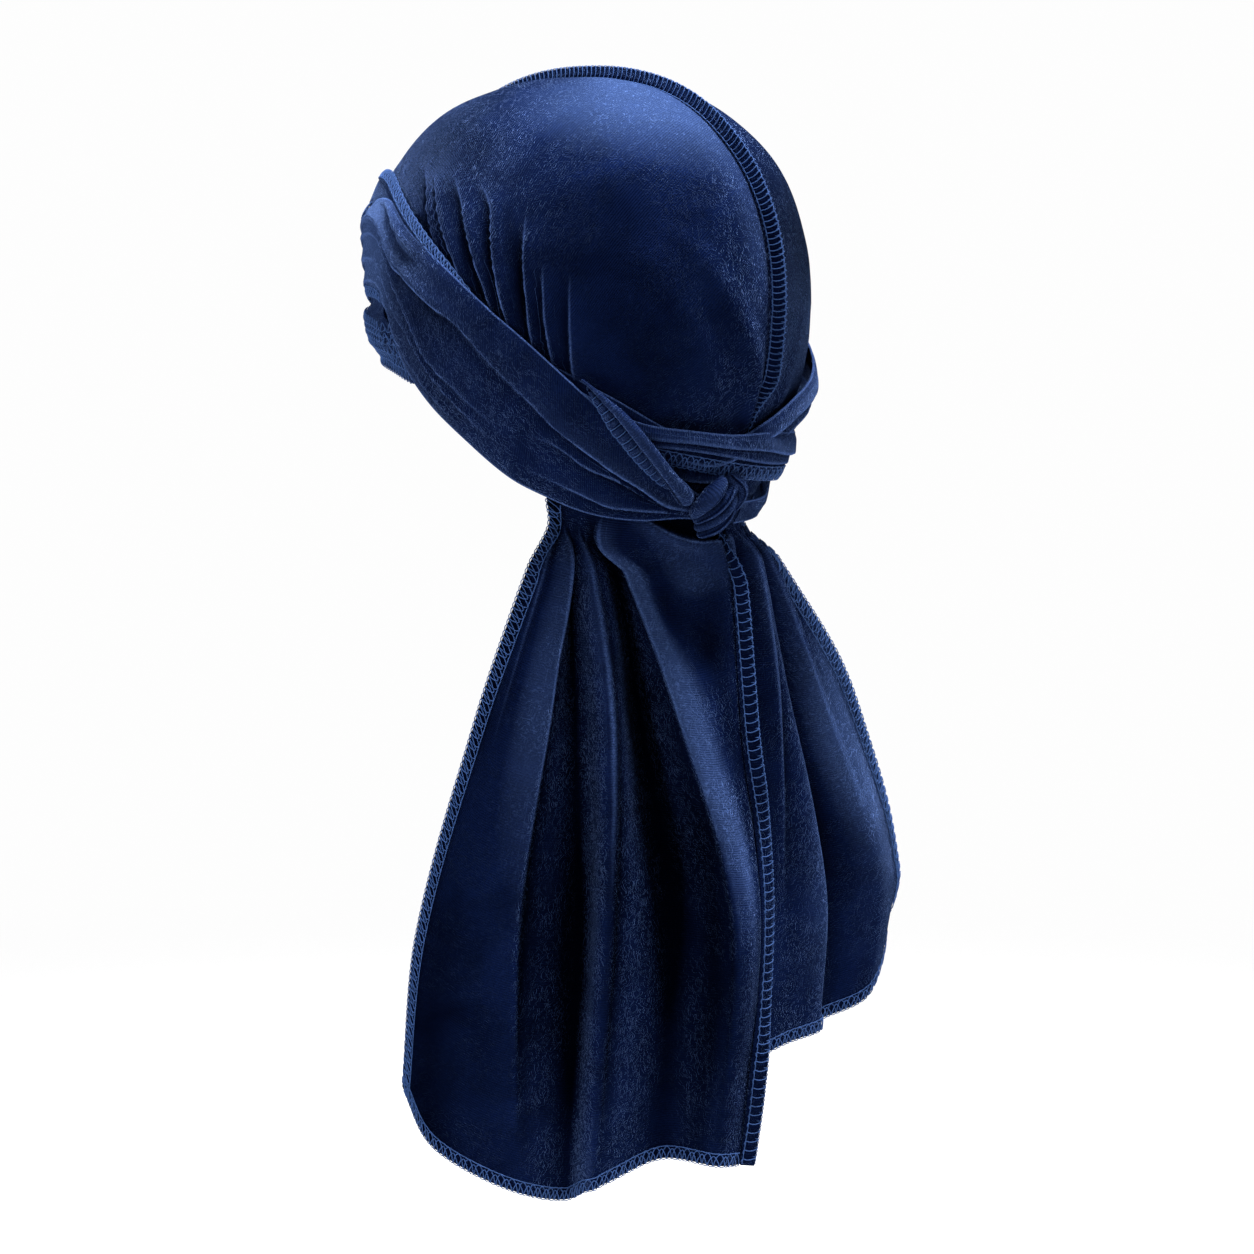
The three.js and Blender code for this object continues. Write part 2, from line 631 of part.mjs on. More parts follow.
const durag = new THREE.Group();
durag.add(
  piece("panel_left", panelGeometry(leftGrid, leftNormals, seam, 1), VELVET),
  piece("panel_right", panelGeometry(rightGrid, rightNormals, seam, -1), VELVET),
  piece("centre_seam", seamGeometry(seam), VELVET_EDGE),
  piece("front_hem", hemGeometry(), VELVET_EDGE),
  piece("strap_left", strapGeometry(STRAP_LEFT, same), VELVET),
  piece("strap_right", strapGeometry(STRAP_RIGHT, mirrored), VELVET_SHADE),
);
for (const [name, rows] of Object.entries(ROLLS)) {
  durag.add(piece(name, rollGeometry(rows, ROLL_STATIONS * rows.length), VELVET_EDGE));
}

export default durag;
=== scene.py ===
# Velvet durag, tied for wearing: crown and tail panels, a standing overlocked seam, a stitched
# front hem, and two long straps wrapped round the head and knotted at the nape.
#
# Lengths in the tables are millimetres and angles are degrees. Angles round the head run from +X
# (wearer's left ear) through +Y (nape), so the brow is at -90 or 270. A drop is a depth below the
# crown's top. Pieces of the right side are worked out as their mirror image, on the left.

import math

import bmesh
import bpy
import numpy as np
from bpy.props import FloatProperty, FloatVectorProperty, IntProperty, PointerProperty
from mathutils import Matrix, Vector


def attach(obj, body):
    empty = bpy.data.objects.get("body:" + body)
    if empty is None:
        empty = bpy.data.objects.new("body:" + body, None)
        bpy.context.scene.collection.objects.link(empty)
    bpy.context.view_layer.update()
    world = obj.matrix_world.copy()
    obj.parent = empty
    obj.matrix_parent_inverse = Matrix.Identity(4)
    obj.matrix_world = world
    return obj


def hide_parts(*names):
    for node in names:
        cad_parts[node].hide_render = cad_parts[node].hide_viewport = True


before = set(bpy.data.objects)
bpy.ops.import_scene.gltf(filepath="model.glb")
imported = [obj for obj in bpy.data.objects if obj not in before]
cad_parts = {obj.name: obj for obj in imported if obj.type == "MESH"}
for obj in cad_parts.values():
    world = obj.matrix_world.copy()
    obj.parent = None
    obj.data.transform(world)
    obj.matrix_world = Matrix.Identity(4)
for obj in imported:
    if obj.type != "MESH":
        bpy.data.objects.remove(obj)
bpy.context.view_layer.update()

bl_info = {
    "name": "Velvet Durag",
    "version": (1, 0, 0),
    "blender": (4, 5, 0),
    "location": "3D View > Sidebar > Durag",
    "description": "Builds a tied velvet durag around its packed model",
    "category": "Object",
}

# ---------------------------------------------------------------- driving dimensions

# Millimetres, degrees and shares of a whole, unless a line says otherwise.

MM = 0.001
HAND = {"left": 1, "right": -1}
HALF_WIDTH = 77.5
HALF_LENGTH = 96.5
CROWN_DEPTH = 88.0
CROWN_ROUNDNESS = 2.3
FOREHEAD_FLATNESS = 0.06
FOREHEAD_TOP = 40.0
HEIGHT_PER_DEGREE = 1.5
BROW_HEIGHT = -112.0
NAPE_HEIGHT = -160.0

HEM_WIDTH = 16.0
HEM_REACH = 3
HEM_LIFT = 1.25
SEAM_DRIFT = 3.0
SEAM_LEAN = 20.0
SEAM_PRESSED = 1.2
SEAM_FREE = 6.0
SEAM_HIDDEN = 0.085
SEAM_PUCKER = 0.16

TUCK_DROP = 13.0
TUCK_LIFT = 1.5
TAIL_TOP = 172
GATHER_START = 0.6
TAIL_CROWDING = 1.5
SWELL_LAST = 140
RIM_REACH = 12
HOLLOW_REACH = 11
WRAP_PRESS = 0.85
PLEAT_FULL = 2.4
FOLD_FULL = 2.6

FIRST_LAYER = 1.9
LAYER_PITCH = 1.55
TEMPLE_TRAVEL = 322
CREASE_BREADTH = 0.2
RUNG_PITCH = 3.4
RUNG_TURNS = (160, 35)
RUNG_BREADTH = 0.45
RUNG_DEPTH = 0.15
ROLL_THREAD = 0.21
KNOT_THREAD = 0.2

# gentle waves in the cloth: height, size and seed
CLOTH_RUMPLE = (0.35, 34, 3)
TAIL_RUMPLE = (0.5, 60, 5)
STRAP_RUMPLE = (0.25, 22, 11)

# shares of the stitch pitch: ladder stitches over the crown and down the tail, then the others
LADDER_PITCH = (0.52, 0.78)
SEAM_EDGE_PITCH = 0.75
NEEDLE_PITCH = 0.7

# metres and square metres
HEM_WALL = 0.0005
SEAM_SKIN = 0.0003
KNIT_RIB = 0.00095

# rows and columns of a mesh, and points on a thread
STRAP_MESH = (720, 50)
HEM_MESH = (420, 26)
STRAND_MESH = (170, 44)
THREAD_STEPS = 3
RUNG_POINTS = 9
FRILL_POINTS = 61


def lerp(a, b, t):
    return a + (b - a) * t


def smooth(x, low, high):
    t = np.clip((x - low) / (high - low), 0, 1)
    return t * t * (3 - 2 * t)


def unit(v):
    return v / np.maximum(np.linalg.norm(v, axis=-1, keepdims=True), 1e-12)


def handed(points, side):
    return points * np.array([HAND[side], 1, 1])


def lengths(points, axis=0):
    """Distance of each point from the first one, along lines of points."""
    steps = np.linalg.norm(np.diff(points, axis=axis), axis=-1)
    return np.insert(np.cumsum(steps, axis=axis), 0, 0, axis=axis)


def points_at(at, places, points):
    return np.stack([np.interp(at, places, points[:, k]) for k in range(3)], -1)


def slopes(xs, ys):
    """Slope at each row of a table, from the rows on both sides of it."""
    before = np.maximum(np.arange(len(xs)) - 1, 0)
    after = np.minimum(np.arange(len(xs)) + 1, len(xs) - 1)
    return (ys[after] - ys[before]) / (xs[after] - xs[before])


def eased(low, high, leave, arrive, span, t):
    """Value between two rows, leaving one and arriving at the other at their slopes."""
    bow = leave * t * (1 - t) ** 2 - arrive * t * t * (1 - t)
    return lerp(low, high, t * t * (3 - 2 * t)) + span * bow


class Track:
    """Rows with named columns, read smoothly along the first column."""

    def __init__(self, names, rows):
        self.names = names.split()
        self.rows = np.array(rows, float)
        self.first = self.rows[0, 0]
        self.last = self.rows[-1, 0]

    def read(self, name, at):
        xs = self.rows[:, 0]
        ys = self.rows[:, self.names.index(name)]
        at = np.clip(at, xs[0], xs[-1])
        i = np.clip(np.searchsorted(xs, at, side="left") - 1, 0, len(xs) - 2)
        slope = slopes(xs, ys)
        span = xs[i + 1] - xs[i]
        return eased(ys[i], ys[i + 1], slope[i], slope[i + 1], span, (at - xs[i]) / span)


def track_maker(names):
    return lambda *rows: Track(names, rows)


# ---------------------------------------------------------------- tables

# Head form below the crown: share of its widest level at each drop.
FORM_BELOW = Track("drop share", [
    (88, 1.0), (105, 0.985), (123, 0.94), (138, 0.875), (155, 0.8), (175, 0.71), (195, 0.65),
    (225, 0.6),
])

# Front edge of the crown from the brow to the temple, then its side edges on to the nape.
HEM_EDGE = Track("angle height", [(-90, -112), (-60, -113), (-35, -115.5), (-19, -119)])
side_edge = track_maker("angle height")
SIDE_EDGE = {
    "left": side_edge((-19, -119), (-6, -121), (6, -130), (15, -145), (22, -160)),
    "right": side_edge((-19, -119), (-2, -123), (18, -137), (40, -151), (68, -163)),
}

# How far the centre seam stands up, by its turn over the head from the crown's top.
SEAM_OVER_CROWN = Track("turn stand", [
    (-100, SEAM_PRESSED), (-56, SEAM_PRESSED), (-44, 2), (-20, 3.2), (10, 4.6), (40, 5.6),
    (107, SEAM_FREE), (117, SEAM_PRESSED), (140, SEAM_PRESSED),
])
SEAM_DOWN_TAIL = Track("drop stand", [
    (160, SEAM_PRESSED), (180, SEAM_PRESSED), (198, SEAM_FREE), (400, 7), (440, 5),
])

# Tail in plan at four heights: fold, columns from the fold before it, share of the width where the
# crown ends, then x and y at each height; the hem's own height comes last. Both sides are given in
# their own place.
TAIL_HEIGHTS = (-190, -250, -330)
TAIL_FOLDS = {
    "left": [
        ("seam", 0, 0, (3.5, 77), (6.5, 84.5), (5.5, 93.5), (13.5, 90.5, -427)),
        ("crest_3", 5, 0.7, (33, 51), (27, 75), (18, 93), (26, 90, -425)),
        ("valley_2", 3, 0.76, (35, 44), (29, 52), (25, 65), (32, 66, -425)),
        ("crest_2", 3, 0.82, (48, 44), (51, 57), (56, 60), (61, 55, -433)),
        ("valley_1", 2, 0.86, (50, 34), (49, 37), (52, 42), (60, 41, -440)),
        ("crest_1", 3, 0.9, (56, 38), (69, 37), (80, 32), (83, 34, -433)),
        ("corner", 2, 0.96, (64, 33), (82.5, 25), (97, 12.5), (102, 7, -415)),
        ("edge", 1, 1, (68, 28), (88, 17.5), (104, 2), (110, -1, -391)),
    ],
    "right": [
        ("seam", 0, 0, (3.5, 77), (6.5, 84.5), (5.5, 93.5), (13.5, 90.5, -427)),
        ("valley_4", 4, 0.2, (-5, 70), (-11, 62), (-15, 56), (-13, 58, -408)),
        ("crest_4", 3, 0.4, (-14, 76), (-35, 70), (-45, 66), (-47, 64, -395)),
        ("crest_5", 2, 0.6, (-19, 73), (-42, 69), (-66, 70), (-70, 68, -392)),
        ("valley_5", 2, 0.72, (-22, 67), (-46, 60), (-76, 60), (-80, 60, -391)),
        ("crest_6", 3, 0.87, (-27, 74), (-62, 73), (-100, 75), (-100, 71, -382)),
        ("edge", 2, 1, (-31, 75), (-81, 75), (-117, 73), (-110, 72, -350)),
    ],
}

# Each strap, from its sewn end to the knot: its top and bottom edge, and how many layers lie
# under it.
strap_path = track_maker("travel top bottom layer")
STRAPS = {
    "left": strap_path(
        (-15, -90, -116, 0), (0, -92, -122, 0), (20, -103, -137, 0), (40, -119, -149, 0),
        (60, -134, -158, 0.3), (75, -139, -159, 1), (90, -131, -149, 1.3), (105, -121, -139, 1.6),
        (120, -114, -132, 1.6), (140, -102.5, -127.5, 1), (165, -93, -123, 1), (190, -84, -114, 1),
        (215, -76, -104, 1), (240, -77, -101, 1), (255, -79, -101, 1), (270, -79, -101, 1.5),
        (285, -71.5, -96.5, 1.6), (300, -59, -89, 1.4), (315, -51, -86, 1.4), (332, -49, -90, 1.7),
        (344, -58.5, -113, 2), (358, -71, -134, 2), (372, -87.5, -151, 2), (384, -103, -159, 2),
        (395, -118, -164, 2.6), (404, -130, -166, 3), (414, -141, -167, 3), (426, -153.7, -166.3, 3.1),
        (435, -159.5, -167.5, 3.3)),
    "right": strap_path(
        (-15, -90, -116, 0), (0, -92, -122, 0), (20, -103, -133, 0), (45, -128.5, -151.5, 0),
        (58, -136.5, -155, 1.8), (75, -134.5, -153.4, 3.2), (90, -133.5, -151.7, 3),
        (103, -133.8, -149.4, 2.4), (117, -131.8, -146, 2), (130, -129, -142.5, 1.9),
        (140, -123, -139, 1.2), (160, -103, -131, 1), (180, -71.5, -104.5, 1), (196, -53, -87.5, 1),
        (213, -40, -74, 0.7), (230, -38, -69, 0.5), (250, -41, -69, 0.8), (270, -44, -72, 1.5),
        (285, -44, -76, 2), (300, -46, -82, 2), (325, -51, -93, 2), (345, -66, -118, 2),
        (360, -94, -146, 2), (380, -126, -166, 2), (400, -150, -172, 1.8), (420, -161, -171, 1.6),
        (450, -161.5, -170.5, 2.6)),
}

# Folds along each strap: place across it (0 at its top edge), rise, and reach of the gentle side.
strap_fold = track_maker("travel across rise reach")
STRAP_FOLDS = {
    "left": [
        strap_fold((20, 0.3, 0, 6), (45, 0.35, 1.2, 5), (70, 0.32, 2.2, 4), (92, 0.3, 2.6, 4),
                   (110, 0.32, 2.6, 4), (128, 0.3, 2, 5), (150, 0.28, 1, 6), (170, 0.25, 0, 6)),
        strap_fold((35, 0.7, 0, 6), (60, 0.66, 1.4, 5), (85, 0.64, 2.4, 4), (110, 0.66, 2.4, 4),
                   (135, 0.6, 1.4, 6), (175, 0.6, 1, 7), (205, 0.5, 1.2, 6), (240, 0.45, 1.4, 6),
                   (270, 0.5, 1.2, 6), (300, 0.6, 1.4, 5), (318, 0.6, 1.6, 5), (329, 0.6, 1.9, 6),
                   (335, 0.63, 2, 7), (340, 0.64, 2, 7), (349, 0.65, 2, 7), (355.5, 0.73, 1.8, 7),
                   (361, 0.77, 1.2, 7), (370, 0.81, 0, 7)),
        strap_fold((315, 0, 0, 4), (326, 0.03, 0.8, 4), (334, 0.05, 1.4, 4), (340, 0.08, 1.6, 4),
                   (346, 0.1, 1.2, 4), (352, 0.1, 0, 4)),
        strap_fold((250, 0.2, 0, 6), (280, 0.2, 1.4, 5), (305, 0.18, 1.5, 4), (320, 0.19, 1.9, 4),
                   (330, 0.235, 2.8, 5), (340, 0.29, 3.1, 7), (350, 0.265, 3.1, 9), (357, 0.265, 2.7, 12),
                   (363, 0.25, 1.7, 12), (372, 0.3, 1.1, 12), (381, 0.36, 1.3, 12), (388, 0.41, 1.7, 9),
                   (394, 0.42, 2.4, 7), (404, 0.45, 2.6, 6), (411, 0.5, 2.4, 5), (421, 0.64, 1.6, 3),
                   (432, 0.6, 0, 2)),
        strap_fold((292, 0.38, 0, 5), (306, 0.36, 1.2, 4), (320, 0.35, 1.5, 4), (330, 0.37, 1.9, 4),
                   (338, 0.42, 2, 5), (346, 0.475, 2.1, 6), (349, 0.52, 2, 7), (355, 0.63, 1.8, 7),
                   (362, 0.665, 1.1, 8), (374, 0.7, 0, 8)),
        strap_fold((292, 0.9, 0, 4), (304, 0.86, 1.1, 4), (320, 0.83, 1.5, 4), (332, 0.82, 1.9, 5),
                   (342, 0.84, 1.8, 5), (352, 0.88, 1, 5), (362, 0.92, 0, 5)),
        strap_fold((380, 0.6, 0, 8), (388, 0.55, 1, 8), (396, 0.57, 1.6, 7), (405, 0.54, 1.8, 6),
                   (414, 0.62, 1.2, 4), (424, 0.72, 0, 3)),
        strap_fold((378, 0.86, 0, 6), (388, 0.84, 0.9, 6), (395, 0.83, 1.7, 5), (403, 0.85, 1.9, 5),
                   (410, 0.82, 1.7, 4), (423, 0.78, 1, 3), (432, 0.8, 0, 2)),
    ],
    "right": [
        strap_fold((20, 0.3, 0, 6), (50, 0.32, 1.2, 5), (62, 0.35, 1.8, 5), (76, 0.4, 2.2, 6),
                   (88, 0.32, 2, 6), (100, 0.26, 1.7, 5), (114, 0.22, 1.5, 4), (126, 0.28, 1.1, 4),
                   (140, 0.3, 1.2, 4), (165, 0.35, 1.4, 6), (190, 0.4, 1.4, 7), (215, 0.42, 0.9, 7),
                   (250, 0.4, 1, 6), (280, 0.35, 1.8, 7), (310, 0.3, 2.2, 8), (340, 0.27, 2.6, 9),
                   (365, 0.3, 2, 10), (385, 0.4, 1.8, 7), (405, 0.5, 1.2, 4), (425, 0.5, 0, 3)),
        strap_fold((58, 0.6, 0, 5), (70, 0.62, 1.2, 5), (88, 0.6, 1.6, 5), (107, 0.46, 1.4, 4),
                   (118, 0.46, 1.3, 4), (132, 0.55, 0.8, 3), (150, 0.62, 0.8, 4), (180, 0.7, 1.2, 6),
                   (210, 0.72, 0.9, 6), (250, 0.7, 1, 6), (290, 0.62, 1.6, 7), (325, 0.6, 1.8, 8),
                   (350, 0.62, 2, 8), (375, 0.64, 1.4, 7), (395, 0.7, 0, 5)),
        strap_fold((300, 0.85, 0, 5), (330, 0.82, 1.3, 6), (355, 0.84, 1.5, 6), (385, 0.85, 0.8, 5),
                   (400, 0.85, 0, 4)),
    ],
}

# Stretches of serged strap edge that show: edge, first and last travel, and share of full bite.
SERGED = {
    "left": [("lower", -15, 60, 0.8), ("upper", 180, 318, 0.8), ("lower", 100, 330, 0.8)],
    "right": [("lower", 44, 150, 1.2), ("upper", 150, 362, 0.8), ("lower", 150, 285, 0.8)],
}

# Pleats of the crown where the wraps draw it in: each opens downwards and steps up at its front.
pleat = track_maker("drop angle rise reach")
CROWN_PLEATS = {
    "left": [
        pleat((30, -40, 0, 5), (40, -34, 0.8, 5), (47, -25, 1.2, 5), (54, -18, 1.2, 5)),
        pleat((34, -21, 0, 8), (43, -14.6, 1.2, 8), (50, -11.8, 1.8, 7), (57, -9, 2, 6), (65, -5.8, 2, 5),
              (72, -2.6, 1.7, 5), (90, 3, 1.4, 5)),
        pleat((36, -14.5, 0, 8), (44, -9.6, 1.3, 8), (54, -5.6, 2.1, 7), (62, -2.4, 2.3, 7),
              (74, 2.4, 2.2, 6), (83, 5.4, 1.9, 5), (98, 10, 1.4, 5)),
        pleat((38, -5, 0, 9), (47, 0, 1.4, 9), (55, 2.6, 2.2, 8), (64, 5.4, 2.5, 8), (76, 8.6, 2.4, 7),
              (91, 12.6, 2, 6), (106, 17, 1.4, 5)),
        pleat((40, 4, 0, 9), (48, 9, 1.4, 9), (58, 10.8, 2.3, 9), (72, 12.6, 2.6, 8), (86, 14.8, 2.4, 7),
              (98, 17.2, 2, 6), (112, 20, 1.4, 5)),
        pleat((52, 19.4, 0, 11), (62, 19.8, 1.3, 11), (72, 20.2, 2, 10), (84, 20.9, 2.1, 8),
              (100, 22, 1.8, 6), (114, 24, 1.2, 5)),
        pleat((70, 24.4, 0, 9), (80, 24.9, 1.2, 9), (92, 25.4, 1.8, 8), (107, 27, 1.7, 7),
              (120, 29, 1.1, 5)),
        pleat((74, 31, 0, 9), (86, 31, 0.9, 9), (100, 31.4, 1.4, 8), (112, 32, 1.3, 7), (124, 33, 0.8, 5)),
    ],
    "right": [
        pleat((30, -18, 0, 8), (42, -12, 1.2, 8), (58, -6, 2, 7), (78, 0, 2, 6), (100, 6, 1.4, 5)),
        pleat((36, -4, 0, 9), (50, 2, 1.6, 9), (66, 7, 2.4, 8), (86, 11, 2.1, 6), (106, 17, 1.4, 5)),
        pleat((44, 10, 0, 10), (58, 14, 1.6, 10), (76, 18, 2.4, 8), (96, 22, 2, 6), (114, 27, 1.4, 5)),
        pleat((60, 26, 0, 10), (76, 28, 1.3, 9), (96, 31, 1.9, 8), (118, 35, 1.4, 6)),
        pleat((72, 40, 0, 9), (90, 42, 1.1, 9), (108, 44, 1.6, 7), (124, 47, 1.1, 5)),
    ],
}

# Soft hollows and swells of the crown beside the seam.
swell = track_maker("drop angle rise breadth")
CROWN_SWELLS = {
    "left": [
        swell((52, 52, 0, 6), (65, 64, 0.9, 6), (88, 75, 1.5, 6), (111, 83.5, 1.6, 5), (126, 86, 1.2, 4)),
        swell((70, 58, 0, 7), (90, 66, -0.8, 6), (112, 75, -1, 6), (130, 79, -0.8, 5)),
    ],
    "right": [
        swell((60, 62, 0, 7), (90, 72, 1.2, 7), (118, 80, 1.4, 5), (130, 82, 1, 4)),
    ],
}

# Crests of the tail's folds. The number before each is 1 where the fold steps down on its seam
# side and -1 where it steps down on its outer side. Its place counts folds from the seam.
crest = track_maker("drop place rise reach")
TAIL_CRESTS = {
    "left": [
        (1, crest((172, 5, 0, 8), (186, 5, 2.4, 8), (230, 5, 2.8, 11), (300, 5, 2.6, 14), (360, 5, 1.8, 16),
                  (400, 5, 0.8, 18), (425, 5, 0, 18))),
        (1, crest((172, 3, 0, 6), (190, 3, 2, 6), (240, 3, 2.4, 8), (310, 3, 2.4, 9), (380, 3, 1.8, 11),
                  (440, 3, 0.9, 14))),
        (-1, crest((168, 1.1, 0, 8), (174, 1.1, 1.6, 8), (182, 1.1, 2.2, 8), (200, 1.1, 2.6, 7),
                   (240, 1.05, 2.4, 9), (310, 1, 2.2, 12), (370, 1, 1, 14), (410, 1, 0, 14))),
        (1, crest((170, 6, 0, 4), (184, 6, 1.2, 4), (215, 6, 0.8, 6), (260, 6, 0, 8))),
    ],
    "right": [
        (-1, crest((172, 2, 0, 6), (190, 2, 1.8, 6), (240, 2, 2, 9), (300, 2, 1.4, 12), (350, 2, 0, 14))),
        (-1, crest((172, 3.1, 0, 6), (190, 3.1, 2, 6), (240, 3.1, 2.4, 8), (300, 3.1, 2.2, 10),
                   (350, 3.1, 1.2, 12), (380, 3.1, 0, 12))),
        (-1, crest((172, 0.5, 0, 3), (190, 0.5, 1.4, 3), (230, 0.5, 1.2, 5), (290, 0.5, 0, 8))),
        (-1, crest((172, 5, 0, 5), (190, 5, 1.4, 5), (250, 5, 1.4, 8), (320, 5, 0, 12))),
    ],
}

# Rims where the tail's cloth bulges out below the knot: it is hollow above each rim.
rim = track_maker("place drop rise")
TAIL_RIMS = {
    "left": [
        rim((0, 181, 3), (0.2, 181, 3.4), (0.32, 179.4, 3.4), (0.44, 176.8, 3.2), (0.56, 173.8, 2.8),
            (0.7, 170, 2), (0.85, 166, 0)),
    ],
    "right": [
        rim((0, 180.5, 2), (0.25, 181, 2.6), (0.6, 180, 2.4), (1.1, 177, 0)),
    ],
}

# Patches of painted highlight (amount above 0) and painted shade (below 0) on the tail: place and drop of
# the middle, breadth, length and amount.
TAIL_PAINTED_LIGHT = {
    "left": [
        (1, 190, 0.16, 10, 0.9), (1, 206, 0.16, 14, 1.1), (1, 228, 0.17, 18, 1.1),
        (0.8, 184, 0.15, 8, -0.5), (0.75, 206, 0.2, 12, -0.7), (0.4, 221, 0.2, 12, -0.6),
        (0.3, 195, 0.3, 9, 0.5), (0.85, 258, 0.24, 32, 1.3), (0.55, 302, 0.22, 26, 0.9),
        (0.75, 375, 0.5, 45, -0.55), (5.3, 235, 0.3, 40, 0.25), (4.9, 340, 0.6, 60, -0.35),
        (3.1, 320, 0.5, 90, -0.45), (6.4, 380, 0.9, 60, -0.5), (0.2, 240, 0.2, 60, -0.5),
        (4, 350, 0.6, 70, -0.6), (2, 270, 0.45, 90, -1.2), (3.6, 430, 1, 20, 0.3),
    ],
    "right": [
        (5.2, 275, 0.5, 34, 1.7), (5.4, 235, 0.3, 20, 0.6), (3, 260, 0.3, 60, -0.15),
        (3.6, 340, 0.9, 30, 0.3), (1, 280, 0.5, 80, -0.75), (4, 290, 0.5, 50, -0.8),
        (2, 260, 0.5, 60, -0.4), (3.6, 235, 0.5, 40, -0.4),
    ],
}

# Patches of painted highlight (amount above 0) and painted shade (below 0) on the crown: angle and drop of
# the middle, breadth, length and amount.
CROWN_PAINTED_LIGHT = {
    "left": [
        (75, 8, 50, 22, 1.1), (84, 60, 7, 40, 0.35), (30, 78, 40, 34, -0.45), (-26, 20, 38, 22, -0.75),
        (0, 12, 60, 10, 0.3), (45, 45, 30, 16, -0.25),
    ],
    "right": [
        (75, 8, 40, 14, 0.4), (60, 66, 60, 46, -1),
    ],
}

# Strands of gathered strap: the node each belongs to, then its centre line from one end (0) to
# the other (1), with its full breadth and depth.
strand = track_maker("place angle height lift breadth depth")
STRANDS = {
    "strap_roll_laddered": ("strap_roll", strand(
        (0, 35.6, -116.6, 6.4, 0.9, 0.9), (0.1, 37.6, -120.8, 7.2, 2.2, 2),
        (0.2, 40.2, -125.9, 8.4, 4.4, 3.6), (0.34, 43, -131.7, 9.4, 5.8, 4.8),
        (0.47, 46.1, -136.6, 10, 6.2, 5.2), (0.62, 49.2, -142.2, 10.2, 6, 5.2),
        (0.78, 53.1, -148.2, 10, 5.2, 4.6), (0.9, 57, -153.3, 9.6, 4, 3.8),
        (1, 60, -156.5, 9.2, 2.6, 2.8))),
    "strap_roll_smooth": ("strap_roll", strand(
        (0, 34.4, -113.6, 6.4, 0.8, 0.8), (0.1, 38, -118.4, 7.2, 1.8, 1.8),
        (0.19, 41.6, -123.8, 8.6, 3.2, 3), (0.3, 45.6, -130, 10.2, 4.4, 4.4),
        (0.47, 50.6, -138.4, 11.4, 5.2, 5), (0.66, 55.6, -147.2, 12, 5.4, 5.2),
        (0.8, 59.2, -153, 12.4, 5.8, 5.6), (0.92, 62.6, -158.1, 12.6, 7.4, 6.8),
        (1, 65.4, -162.6, 11.8, 7, 6.4))),
    "knot_outer_strand": ("knot_outer", strand(
        (0, 75.4, -152.6, 10.2, 4, 4.2), (0.2, 74, -155.4, 12.4, 6, 6.2), (0.5, 71.4, -159.4, 14, 7.6, 7.8),
        (0.8, 69.2, -163.6, 13.4, 6.6, 7), (1, 67.6, -167.6, 11.2, 4.2, 4.8))),
    "knot_middle_strand": ("knot_middle", strand(
        (0, 79.6, -156, 10.2, 3.2, 3.8), (0.3, 77, -160.8, 12.8, 4.6, 5.8),
        (0.65, 73.4, -165.4, 13.4, 5, 6.2), (1, 68.8, -169.8, 11, 3.6, 4.2))),
    "knot_second_strand": ("knot_middle", strand(
        (0, 81.6, -160, 10, 3.2, 3.8), (0.3, 79.2, -164.4, 12.4, 4.6, 5.6),
        (0.65, 75.4, -169, 12.8, 4.8, 5.8), (1, 70.2, -172.8, 10.4, 3.6, 4.2))),
    "knot_inner_strand": ("knot_inner", strand(
        (0, 83.2, -164.6, 9.6, 3.2, 3.6), (0.35, 80.6, -169, 11.4, 4.6, 5.2),
        (0.7, 77.1, -173, 11.6, 4.8, 5.2), (1, 72.4, -176, 9.4, 3.4, 3.6))),
    "knot_return_strand": ("knot_return", strand(
        (0, 79.2, -151.8, 8.4, 3.2, 3.6), (0.3, 82.6, -155.8, 10.4, 4.4, 4.8),
        (0.6, 84.2, -160.4, 10.8, 4.8, 5), (1, 83.6, -167, 9.4, 3.6, 3.8))),
    "knot_return_inner": ("knot_return", strand(
        (0, 77.8, -152.6, 8.4, 2.4, 3), (0.5, 80.2, -156.6, 10.2, 3.2, 4),
        (1, 81.2, -161.4, 9.6, 2.6, 3.2))),
}

# Creases along the strands: turn round the strand, depth as a share of it, and how far it drifts.
CREASES = {
    "strap_roll_smooth": [(28, 0.05, 0.4)],
    "knot_outer_strand": [(118, 0.07, 0.5)],
    "knot_middle_strand": [(75, 0.06, 0.4)],
    "knot_inner_strand": [(70, 0.07, 0.3), (120, 0.06, 0.2)],
    "knot_return_strand": [(80, 0.06, 0.2)],
}

# Stitches: share of a stitch along the edge, way in from it and way out of the cloth.
ARCHES = [(0.0, -0.1, 0.3), (0.1, 1.8, 0.5), (0.27, 3.9, 0.45), (0.5, 4.8, 0.35),
          (0.73, 3.9, 0.5), (0.9, 1.8, 0.5)]
SCALES = [(0.5, -0.1, 0.35), (0.62, 1.4, 0.65), (0.8, 3.0, 0.6), (1.0, 3.9, 0.45),
          (1.2, 3.0, 0.65), (1.38, 1.4, 0.65)]
LADDER = [(0.0, -0.1, 0.3), (0.26, 1.5, 0.5), (0.36, 3.4, 0.5), (0.28, 4.9, 0.35),
          (0.6, 5.2, 0.2), (0.8, 4.4, -0.35), (0.95, 2.4, -0.5)]
EDGE_PURL = [(0.0, -0.15, 0.35), (0.3, -0.55, 0.0), (0.5, -0.3, -0.55), (0.75, -0.5, 0.1)]
NEEDLE = [(0.0, 4.9, 0.35), (0.35, 4.9, 0.5), (0.7, 4.9, 0.35), (0.85, 4.9, 0.05)]
HEM_ZIGZAG = [(0.0, 1.0, 0.25), (0.22, 3.0, 0.3), (0.4, 4.4, 0.25), (0.5, 4.7, 0.1),
              (0.72, 3.0, 0.3), (0.92, 1.4, 0.25)]
HEM_LOOPS = [(0.0, 0.0, 0.1), (0.25, 0.8, 0.5), (0.55, -0.6, 0.5), (0.9, 0.0, 0.05)]

